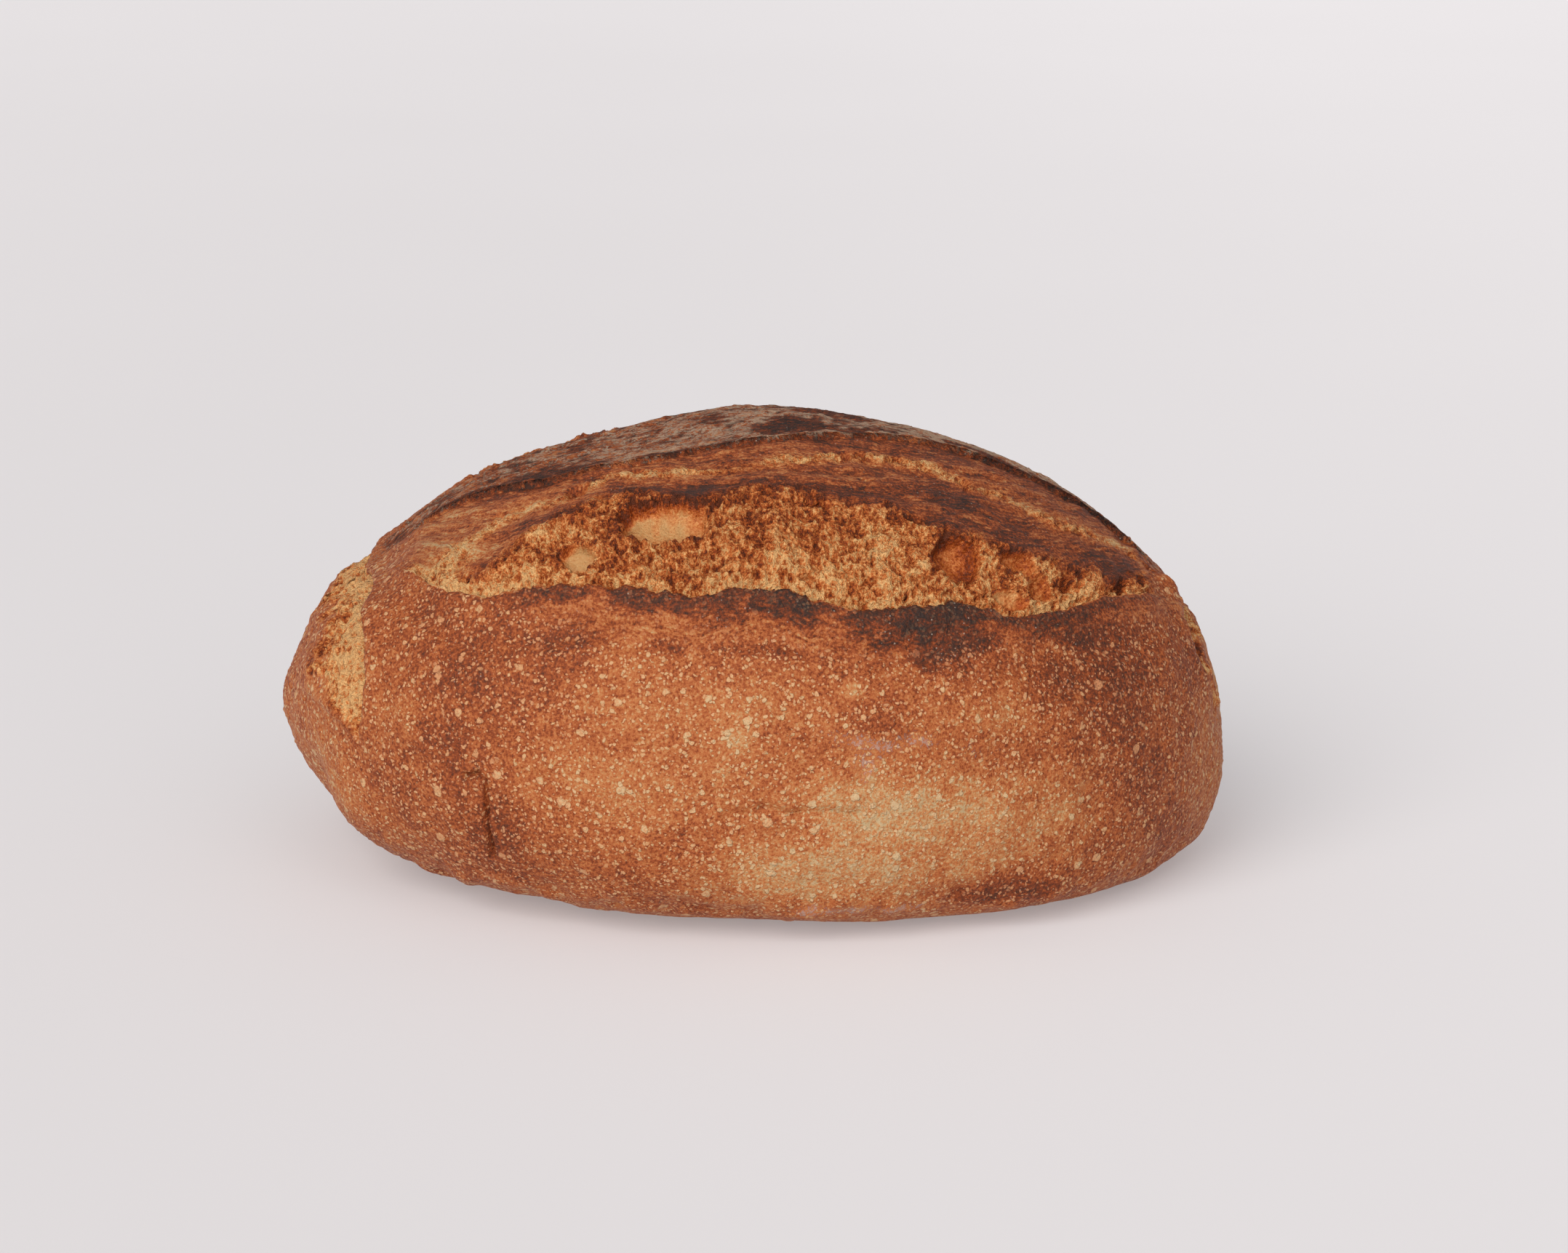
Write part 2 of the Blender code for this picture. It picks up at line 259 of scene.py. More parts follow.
@dataclass
class DoughForm:
    """The rounded loaf without its cuts: the same form as the solid's, in mm."""

    half_length: float = 130.0
    half_depth: float = 99.0
    crown_height: float = 119.8
    belt_heights: tuple[float, float] = (45.2, 32.6)
    belly_drop: float = 55.2
    base_rounding: float = 14.0
    section_exponent: float = 2.5
    crown_fullness: tuple[float, float] = (1.78, 2.03)
    side_fullness: tuple[float, float] = (2.07, 2.04)
    belly_fullness: tuple[float, float] = (2.23, 2.93)
    lumps: tuple[tuple[float, float], ...] = ((46.0, 1.1), (17.0, 0.5))
    lump_seed: int = 11
    foot_lumps: tuple[tuple[float, float, int], ...] = ((11.0, 2.4, 17), (4.5, 1.5, 18))
    foot_top: float = 20.0
    outline_steps: int = 4000
    swellings: tuple[Swelling, ...] = tuple(Swelling(*row) for row in (
        (-120, 122, 16, -1.5), (-129, 84, 8, 1.3), (-119, 72, 8, -1.8), (-106, 66, 14, 2.4),
        (-101.5, 126, 7, 1.6), (117, 150, 6, 3.0), (122, 128, 5, 1.0), (98, 154, 26, 1.6),
        (126, 76, 15, 2.4), (84, 72, 22, 1.0), (2, 84, 16, -0.7), (-32, 72, 26, 1.0), (40, 178, 34, 0.9),
        (-45, 190, 28, -0.8), (30, 286, 30, 1.4), (-60, 268, 30, -1.3), (-30, 186, 34, -3.0),
        (111.5, 160, 4.5, 2.8), (116.5, 149, 3.0, -2.8), (-104, 150, 14, -1.0), (-108, 176, 22, -2.6),
        (-119, 58, 9, -2.0)))

    def half_sizes(self, x: Array) -> tuple[Array, Array, Array, Array]:
        """Belt height, and the section's rise above it, reach to the side and drop below it, at x."""
        share = np.clip(x / self.half_length, -1, 1)
        right = smoothstep(-1, 1, share)

        def blend(pair: tuple[float, float]) -> Array:
            """From the left end's value to the right end's."""
            return pair[0] * (1 - right) + pair[1] * right

        def kept(pair: tuple[float, float]) -> Array:
            """How much of its middle size the form keeps."""
            fullness = blend(pair)
            return (1 - np.abs(share) ** fullness) ** (1 / fullness)

        belt = blend(self.belt_heights)
        return (belt, (self.crown_height - belt) * kept(self.crown_fullness),
                self.half_depth * kept(self.side_fullness), self.belly_drop * kept(self.belly_fullness))

    def points(self, x: Array, turn: Array) -> tuple[Array, Array]:
        """Points of the form, and their distances from its long axis.

        Args:
            x: Places along the loaf.
            turn: Angles about the long axis, in degrees.

        Returns:
            Points with x, y and z last, and radii.
        """
        belt, crown, side, belly = self.half_sizes(x)
        along_y = -np.sin(np.radians(turn))
        along_z = -np.cos(np.radians(turn))
        smallest = 1e-3
        height = np.maximum(np.where(along_z > 0, crown, belly), smallest)
        power = self.section_exponent
        radius = ((np.abs(along_y) / np.maximum(side, smallest)) ** power
                  + (np.abs(along_z) / height) ** power) ** (-1 / power)
        z = belt + along_z * radius
        soft = self.base_rounding
        z = np.where(z < -soft, 0, np.where(z < soft, (z + soft) ** 2 / (4 * soft), z))
        return np.stack(np.broadcast_arrays(x, along_y * radius, z), axis=-1), radius

    def stations(self, count: int) -> Array:
        """x of count - 1 stations, evenly spaced along the outline seen from above."""
        x = -np.cos(np.linspace(0, np.pi, self.outline_steps + 1)) * self.half_length
        side = self.half_sizes(x)[2]
        along = np.concatenate([[0], np.cumsum(np.hypot(np.diff(x), np.diff(side)))])
        return np.interp(np.arange(1, count) / count * along[-1], along, x)

    def unevenness(self, points: Array) -> Array:
        """Soft lumps and dents of the dough at points of the form."""
        relief = np.zeros(points.shape[:-1])
        for lump in self.swellings:
            centre, _ = self.points(np.array(float(lump.x)), np.array(float(lump.turn)))
            relief += lump.rise * bell(np.linalg.norm(points - centre, axis=-1), lump.reach)
        for wavelength, height in self.lumps:
            relief += height * noise(points, wavelength, self.lump_seed)
        foot = smoothstep(self.foot_top, 5, points[..., 2])
        return relief + foot * sum(height * noise(points, wavelength, seed)
                                   for wavelength, height, seed in self.foot_lumps)


@dataclass
class LongCut:
    """A long cut that tore open in the oven, with a curled lip, torn crumb and a ridge."""

    lip: Stations
    ridge: Stations
    tear: Stations
    island: Stations
    ends: tuple[float, float, float, float]
    side: int
    strength: float
    raggedness: Stations
    lip_share: Stations
    burn: Stations
    burn_width: Stations
    seed: int
    lip_rise: Stations = field(default_factory=lambda: {
        -16: 0, -13: -0.6, -9: -0.45, -5: 0.35, -2: 1.2, -0.5: 1.55, 0: 1.35, 0.45: 0.6, 0.95: -0.7,
        1.5: -1.4, 2.3: -1.6, 3.5: -1.4, 5: -1.0, 8: -0.5, 12: -0.1, 15: 0})
    lip_lean: Stations = field(default_factory=lambda: {
        -7: 0, -2.2: 0.25, -0.5: 0.95, 0: 1.35, 0.45: 1.25, 0.95: 0.5, 1.5: -0.35, 2.3: -0.4, 3.5: 0, 6: 0})
    ridge_rise: float = 1.1
    ridge_reach: float = 5.0
    trough_depth: float = 1.5
    island_rise: float = 0.9
    step_depth: float = 0.9

    def ragged(self, x: Array, kind: int) -> Array:
        """An uneven edge from about -1 to 1 along the loaf at x, another one for each kind."""
        line = np.stack([x, np.full_like(x, 13.7 * kind), np.full_like(x, 3.1 * self.seed)], axis=-1)
        return (0.7 * noise(line, 7.0, self.seed) + 0.5 * noise(line, 2.8, self.seed + 1)
                + 0.35 * noise(line, 1.3, self.seed + 2))

    def lines(self, x: Array, radius: Array) -> dict[str, Array]:
        """Turns of the ragged lip, ridge, second tear and island edge.

        Args:
            x: Stations along the loaf.
            radius: The loaf's radius at the lip there.

        Returns:
            Turns by the name of the line.
        """
        degrees = turn_of(1.0, radius)
        return {"lip": through(self.lip, x) + self.ragged(x, 1) * through(self.raggedness, x) * degrees,
                "ridge": through(self.ridge, x) + self.ragged(x, 2) * 1.5 * degrees,
                "tear": through(self.tear, x) + self.ragged(x, 4) * 1.5 * degrees,
                "island": through(self.island, x) + self.ragged(x, 3) * 1.3 * degrees}

    def extent(self, x: Array) -> Array:
        """How far the cut is open at x, from 0 beyond its ends to 1."""
        opens, opened, closes, closed = self.ends
        return smoothstep(opens, opened, x) * (1 - smoothstep(closes, closed, x))


@dataclass
class EndCut:
    """A cut over one end: a sharp step at its inner edge, and torn crumb that rises to its outer rim."""

    edge: Stations
    width: Stations
    side: int
    seed: int
    step: float = 2.7
    rim: float = 1.2
    lip_rise: float = 0.7

    def inner_edge(self, turn: Array) -> Array:
        """x of the inner edge, slightly uneven, at each turn."""
        line = np.stack([turn, np.full_like(turn, 5.5), np.full_like(turn, 2.2 * self.seed)], axis=-1)
        return (through(self.edge, turn) + 0.3 * noise(line, 3.0, self.seed)
                + 0.5 * noise(line, 9.0, self.seed + 1))

    def place(self, x: Array, turn: Array) -> tuple[Array, Array, Array]:
        """Distance outward from the inner edge, share of the width, and how far the cut is open."""
        width = through(self.width, turn)
        outward = self.side * (x - self.inner_edge(turn))
        return outward, outward / np.maximum(width, 0.5), smoothstep(0, 4, width)

    def relief(self, x: Array, turn: Array) -> tuple[Array, Array]:
        """Rise of the skin in the cut, and how far its inner edge leans outward over it."""
        outward, share, opened = self.place(x, turn)
        floor = -self.step * np.clip(1 - share, 0, 1) ** 1.3 * smoothstep(0, 0.5, outward)
        rim = self.rim * bell(share - 1.12, 0.25)
        crust = self.lip_rise * bell(outward, 2.2)
        relief = np.where(outward > 0, floor + rim + crust * (1 - smoothstep(0, 0.8, outward)), crust)
        return relief * opened, 0.55 * bell(outward + 0.2, 0.8) * opened

    def crumb(self, x: Array, turn: Array) -> Array:
        """Where torn crumb shows, from 0 to 1."""
        outward, share, opened = self.place(x, turn)
        uneven = 0.22 * noise(np.stack([x, turn, x * 0 + self.seed], axis=-1), 4.0, self.seed + 3)
        return smoothstep(0.0, 0.4, outward) * (1 - smoothstep(0.85, 1.1, share + uneven)) * opened


@dataclass
class Pocket:
    """A torn bubble: its place, half length, half height and depth in mm, and how its inside looks.

    The membrane is how much of the inside is smooth and bare, and the sharpness how close to its edge the
    full depth is reached. An oval has squareness 2. The toast is how dark the bare inside is coloured:
    partly its baked colour and partly painted shade that makes the hollow read as deep.
    """

    x: float
    turn: float
    half_length: float
    half_height: float
    depth: float
    membrane: float = 0.0
    sharpness: float = 0.5
    squareness: float = 2.0
    toast: float = 0.30

    def share(self, x: Array, turn: Array, radius: Array, wobble: Array) -> Array:
        """Distance from the middle, 1 at the pocket's edge."""
        along = np.abs((x - self.x) / self.half_length)
        around = np.abs(np.radians(turn - self.turn) * radius / self.half_height)
        return (along ** self.squareness + around ** self.squareness) ** (1 / self.squareness) + wobble


@dataclass
class Groove:
    """A crack or crease through places given by x and turn, with its width and depth in mm."""

    places: tuple[tuple[float, float], ...]
    width: float
    depth: float

    def relief(self, x: Array, turn: Array, radius: Array) -> Array:
        """Rise of the skin, below 0 in the groove."""
        nearest = np.full(x.shape, FAR)
        for (x0, turn0), (x1, turn1) in zip(self.places, self.places[1:]):
            up0, up1 = (np.radians(turn - end) * radius for end in (turn0, turn1))
            run, climb = x1 - x0, up0 - up1
            share = np.clip(((x - x0) * run + up0 * climb) / (run ** 2 + climb ** 2 + 1e-9), 0, 1)
            distance = np.hypot(x - x0 - share * run, up0 - share * climb)
            nearest = np.minimum(nearest, distance)
        return -self.depth * smoothstep(self.width, self.width * 0.25, nearest)


@dataclass
class Blotch:
    """A coloured patch of crust at x and turn, with its half length, half height in mm, and strength."""

    kind: Patch
    x: float
    turn: float
    half_length: float
    half_height: float
    strength: float


def blotches(kind: Patch, *rows: tuple[float, float, float, float, float]) -> tuple[Blotch, ...]:
    """Patches of one kind from rows of x, turn, half length, half height and strength."""
    return tuple(Blotch(kind, *row) for row in rows)


@dataclass
class Scoring:
    """The square of four cuts, and what tore open in them."""

    front: LongCut = field(default_factory=lambda: LongCut(
        lip={-130: 160, -112: 148, -96: 138, -84: 127, -71: 122.4, -60: 122.8, -49: 123.3, -35: 122.4,
             -25: 121.5, -15.6: 120.9, -8: 122, 1: 122.8, 10: 122.8, 14: 122.0, 21.5: 121.6, 33: 121.3,
             43: 122.5, 51.5: 123.7, 62: 124.4, 67: 123.6, 76: 125.7, 93: 133.7, 106: 141.4, 116: 152,
             130: 165},
        ridge={-130: 166, -100: 146, -88: 131.5, -80: 128.6, -72: 128, -62.8: 133.4, -56: 137.4, -48: 140.2,
               -36: 143, -26: 142.6, -18: 141.8, -10.9: 143.6, 1: 145.6, 10: 145.4, 18: 144, 24: 143,
               39: 141.8, 49.4: 139, 59: 139.2, 68: 140.2, 77.5: 139.6, 89.7: 141, 102: 146, 112: 152,
               130: 170},
        tear={-130: 140, -95: 136, -86: 138, -77: 142.7, -67: 149, -48.8: 151.4, -42.8: 154.6, -36.5: 155.4,
              -16: 154.4, 6.5: 158.4, 13: 159, 24.6: 163, 37: 164.4, 45.6: 163.8, 53: 161.6, 65: 160.2,
              80: 158.8, 92: 160.4, 103: 165.4, 112: 166, 130: 168},
        island={-130: 185, -109: 182, -96.5: 176, -88: 173.6, -79.6: 171, -72: 168.5, -62: 163.6, -51: 161.4,
                -43: 162.4, -35: 161.8, -28: 163.5, -15: 165.8, -6: 166.8, 6: 169.8, 17: 171.6, 30: 175,
                46: 178.6, 60: 180, 74: 180, 94: 178, 112: 175.5, 130: 176},
        ends=(-101, -84, 100, 113), side=1, strength=1.0,
        raggedness={-130: 0, -84: 0.4, -60: 0.6, -40: 0.8, -5: 1.0, 12: 1.4, 60: 1.0, 75: 0.5, 130: 0.3},
        lip_share={-130: 0.5, -80: 0.6, -55: 0.9, -40: 1.1, -8: 1.3, 8: 1.1, 17: 0.7, 45: 1.0, 66: 0.6,
                   100: 0.9, 130: 0.6},
        burn={-130: 0, -80: 0, -66: 0.08, -56: 0.22, -40: 0.34, -16: 0.50, -6: 0.62, 12: 0.62, 22: 0.45,
              32: 0.60, 60: 0.55, 67: 0.22, 76: 0.28, 90: 0.25, 102: 0.05, 130: 0},
        burn_width={-130: 2, -75: 2.5, -60: 4, -40: 5, -20: 6, -4: 8.5, 10: 7, 22: 5, 32: 11, 48: 14, 60: 10,
                    67: 5, 80: 7, 92: 5, 104: 3, 130: 2},
        seed=21))
    back: LongCut = field(default_factory=lambda: LongCut(
        lip={-130: 198, -90: 226, -30: 235, 40: 236, 90: 228, 130: 198},
        ridge={-130: 194, -90: 214, -30: 221, 40: 222, 90: 216, 130: 194},
        tear={-130: 193, -90: 205, -30: 213, 40: 214, 90: 211, 130: 192},
        island={-130: 190, -90: 200, -40: 207, 10: 211, 70: 207, 130: 190},
        ends=(-96, -72, 74, 98), side=-1, strength=0.8,
        raggedness={-130: 0, -70: 0.5, 0: 1.1, 70: 0.6, 130: 0.2},
        lip_share={-130: 0.6, -40: 1.2, 10: 1.0, 60: 1.3, 130: 0.6},
        burn={-130: 0, -70: 0.2, -20: 0.5, 30: 0.35, 70: 0.2, 130: 0},
        burn_width={-130: 2, -70: 4, 0: 7, 70: 5, 130: 2}, seed=41))
    left: EndCut = field(default_factory=lambda: EndCut(
        edge={60: -105, 90: -105.4, 95: -103.8, 103: -102.5, 118: -102.4, 127: -103.6, 136: -102.6,
              145: -104.2, 180: -108.5, 215: -106, 250: -103, 300: -104},
        width={89: 0, 94: 3, 97: 7.5, 101: 12.4, 106: 16, 119: 17, 127: 15, 144: 14.5, 160: 12.5, 200: 12,
               236: 9, 262: 0}, side=-1, seed=61))
    right: EndCut = field(default_factory=lambda: EndCut(
        edge={60: 124, 110: 124.4, 127: 122.5, 134: 118.9, 143: 116.4, 155: 115.0, 180: 114, 210: 115,
              250: 121, 300: 124},
        width={104: 0, 116: 1.6, 134: 4.6, 148: 6.5, 180: 7, 215: 6, 246: 0}, side=1, seed=71))
    pockets: tuple[Pocket, ...] = tuple(Pocket(*row) for row in (
        (-23.5, 137.0, 11.6, 6.6, 5.4, 0.95, 0.86, 3.2, 0.12),
        (-19.5, 129.4, 16, 6.8, 1.7, 0.0, 0.55, 2.6), (-45.6, 130.2, 4.8, 4.3, 3.8, 1.0, 0.82, 2.0, 0.08),
        (53, 134.2, 6.4, 6.6, 5.0, 0.9, 0.82, 3.0, 0.62),
        (69.3, 136.9, 4.8, 3.6, 3.4, 0.8, 0.75, 2.2, 0.36),
        (75.5, 132.6, 3.6, 4.4, 3.0, 0.6, 0.6, 2.0, 0.38),
        (67.6, 128.4, 5.0, 3.0, 2.4, 0.8, 0.6, 2.0, 0.26), (83.5, 135.5, 2.6, 2.4, 2.2, 0.2, 0.6),
        (-48.5, 150.2, 4.0, 2.2, 3.0, 0.3, 0.65), (-82, 144, 1.3, 0.9, 2.4),
        (17, 142.2, 4.8, 1.9, 2.6, 0.2, 0.6), (5.7, 150, 3.0, 0.9, 1.6), (41.7, 141.4, 2.4, 1.2, 2.0),
        (-47.5, 152.6, 4.2, 3.0, 4.0, 0.1, 0.6, 2.2), (-41, 155.6, 1.8, 1.5, 2.2, 0.1),
        (-32, 157, 2.4, 1.2, 1.6, 0.1), (-69, 151, 2.6, 1.6, 1.8, 0.1), (-38, 148.4, 2.6, 0.9, 1.6),
        (-30, 147.6, 2.2, 0.8, 1.5), (-17, 153.6, 3.4, 1.8, 1.2, 0.4), (13, 158.6, 3.0, 1.4, 1.8, 0.1),
        (19.5, 161.4, 1.4, 1.2, 1.6, 0.1), (24.4, 163.6, 2.0, 2.4, 2.6, 0.2),
        (29.2, 165.0, 1.8, 2.2, 2.6, 0.2), (33.2, 165.0, 1.2, 1.6, 1.8, 0.2),
        (38.4, 164.6, 2.6, 2.4, 2.2, 0.3), (46, 163.2, 2.0, 1.4, 1.6, 0.2),
        (57, 161.4, 2.2, 1.6, 1.6, 0.2), (66, 160.2, 2.4, 1.2, 1.8, 0.1), (79.5, 158.6, 1.6, 1.2, 1.6),
        (91.5, 160.4, 2.0, 1.5, 2.4), (103, 165.2, 1.6, 2.4, 2.2), (108, 164.6, 1.8, 3.2, 2.4),
        (98.6, 143.4, 1.8, 3.0, 2.4, 0.1), (29.8, 152.8, 2.4, 1.2, 1.2, 0.5, 0.6),
        (97, 141, 2.0, 2.6, 2.0, 0.1), (14, 126.6, 2.4, 1.8, 2.2, 0.5),
        (35, 226, 9, 6, 3.8, 0.7, 0.7, 3.0), (-22, 229, 7, 5, 3.4, 0.6, 0.7, 2.4),
        (4, 227, 3, 2.4, 2.6, 0.3, 0.6), (62, 224, 4, 3, 2.8, 0.5, 0.6),
        (118.6, 146, 1.9, 3.4, 2.8, 0.4, 0.6)))
    grooves: tuple[Groove, ...] = (
        Groove(((-74.5, 90.2), (-71.5, 91), (-69.4, 89.6), (-69.2, 86), (-69.6, 82), (-68.6, 78),
                (-68.4, 75)), 1.0, 2.4),
        Groove(((2, 91.2), (10, 90.6), (20, 91.4), (27, 91)), 1.1, 1.1),
        Groove(((-7, 89), (-2, 90), (3, 90.8)), 2.2, 0.5),
        Groove(((22, 95), (31, 95.4), (38, 94.8)), 1.2, 0.3),
        Groove(((38, 112), (50, 116), (60, 118.5)), 1.0, -0.35),
        Groove(((58, 88.5), (66, 90)), 0.9, -0.3),
    )
    blotches: tuple[Blotch, ...] = (
        *blotches(Patch.PALE,
                  (-27, 172, 9, 7, 0.45), (58, 188, 14, 8, 0.4), (24.2, 109.5, 3.2, 2.4, 1.0),
                  (-4, 101, 2.6, 1.8, 0.7), (40, 90, 34, 11, 1.0), (16, 80, 28, 9, 0.95),
                  (57, 85, 18, 9, 0.8), (-7, 75, 16, 5, 0.5), (40, 83, 22, 6, 0.6),
                  (60, 262, 30, 14, 0.6), (-118, 300, 10, 14, 0.4)),
        *blotches(Patch.GOLD,
                  (-78, 134, 10, 5, 1.0), (-14, 103, 31, 11, 0.6), (-40, 94, 20, 11, 0.85),
                  (57, 109, 24, 6, 0.5), (79, 89, 14, 8, 0.5), (-29, 110, 12, 7, 0.4),
                  (-63, 93, 10, 12, 0.3), (-118, 76, 12, 11, 0.5), (-91, 104, 8, 6, 0.25),
                  (-60, 255, 40, 20, 0.5), (30, 285, 40, 16, 0.5)),
        *blotches(Patch.RED,
                  (-14, 158, 14, 4, 0.6), (-16, 86, 10, 8, 0.5), (-33, 75, 31, 10, 0.3),
                  (30, 106, 9, 6, 0.9), (8, 102, 14, 4, 0.5), (-66, 74, 14, 12, 0.7),
                  (40, 110, 22, 7, 0.5), (-63, 109, 22, 9, 0.4), (69, 105, 12, 8, 0.4),
                  (-99, 113, 6, 9, 0.3), (27, 115, 16, 5, 0.4), (0, 268, 30, 18, 0.6)),
        *blotches(Patch.DARK,
                  (-77, 94, 10, 11, 0.9), (-72, 82, 11, 13, 0.6), (-47, 115, 10, 5, 0.45),
                  (-88, 119, 9, 9, 0.4), (78, 115, 11, 7, 0.9), (95, 112, 12, 12, 0.55),
                  (103, 95, 9, 10, 0.6), (116, 132, 6, 11, 0.6), (110, 83, 8, 9, 0.35),
                  (64, 76, 12, 5, 0.8), (83, 126, 14, 5, 0.6), (-78, 106, 14, 6, 0.35),
                  (-63, 99, 12, 8, 0.35), (-95, 84, 8, 9, 0.35), (116, 104, 4, 12, 0.3),
                  (-85, 262, 14, 14, 0.8), (70, 250, 16, 8, 0.8), (-20, 243, 26, 5, 0.8)),
        *blotches(Patch.CHAR,
                  (-55, 168, 14, 9, 1.0), (-71, 172, 9, 4, 0.8), (-26, 166.5, 8, 3, 0.9),
                  (13, 180, 12, 13, 1.0), (22, 201, 14, 10, 0.8), (30, 181, 12, 5, 0.5),
                  (68, 184, 11, 6, 0.8), (88, 181, 10, 6, 0.7), (-17, 144.6, 14, 5.5, 1.0),
                  (-59, 140.8, 11, 4, 0.6), (54, 151.4, 10, 7, 0.9), (97, 150, 11, 7, 0.6),
                  (18, 146.5, 24, 3, 0.5), (-34, 146, 8, 3, 0.5), (-22, 114, 5, 2, 0.35),
                  (3, 114.4, 15, 1.8, 0.3), (45, 117, 12, 4, 0.4), (75, 123, 12, 3, 0.3),
                  (-46, 115, 8, 2, 0.1), (64, 75, 11, 4, 0.25), (-30, 216, 14, 5, 0.9),
                  (40, 217, 16, 5, 0.8)),
        *blotches(Patch.FLOUR,
                  (28, 102, 11, 3, 1.0), (42, 103, 10, 3, 0.9), (27, 99, 5, 6, 0.8), (59, 101, 8, 3, 0.6),
                  (21, 73, 15, 3, 1.0), (37, 73, 12, 2, 1.0), (-116, 111, 2, 7, 0.5),
                  (-27, 172, 9, 7, 1.0), (3, 184, 8, 9, 0.9), (-34, 186, 16, 9, 0.6),
                  (-90, 195, 12, 20, 0.4), (50, 188, 16, 7, 0.5), (-69, 193, 12, 11, 0.5),
                  (-40, 284, 24, 6, 0.8)),
    )

    def long_cuts(self) -> tuple[tuple[str, LongCut], ...]:
        """The front and the back cut, with their names."""
        return ("front", self.front), ("back", self.back)

    def end_cuts(self) -> tuple[EndCut, EndCut]:
        """The cuts over the left and the right end."""
        return self.left, self.right


@dataclass
class Rows:
    """How many rows run lengthwise in each zone round the loaf, and how they gather below the lips."""

    base: int = 10
    front_wall: int = 128
    fold: int = 8
    front_crumb: int = 84
    front_upper: int = 50
    island: int = 62
    back_upper: int = 16
    back_crumb: int = 26
    back_wall: int = 86
    foot_turn: float = 44.0
    fold_reach: float = 2.8
    gathering: float = 1.2


class Sector(Enum):
    """The loaf's pieces: sectors about its long axis, parted where a crease hides the joint."""

    CRUST_FRONT = ("crust_front", "start", "front_crease")
    CRUMB_FRONT = ("crumb_front", "front_crease", "island_front")
    CRUST_TOP = ("crust_top", "island_front", "island_back")
    CRUMB_BACK = ("crumb_back", "island_back", "back_crease")
    CRUST_BACK = ("crust_back", "back_crease", "end")


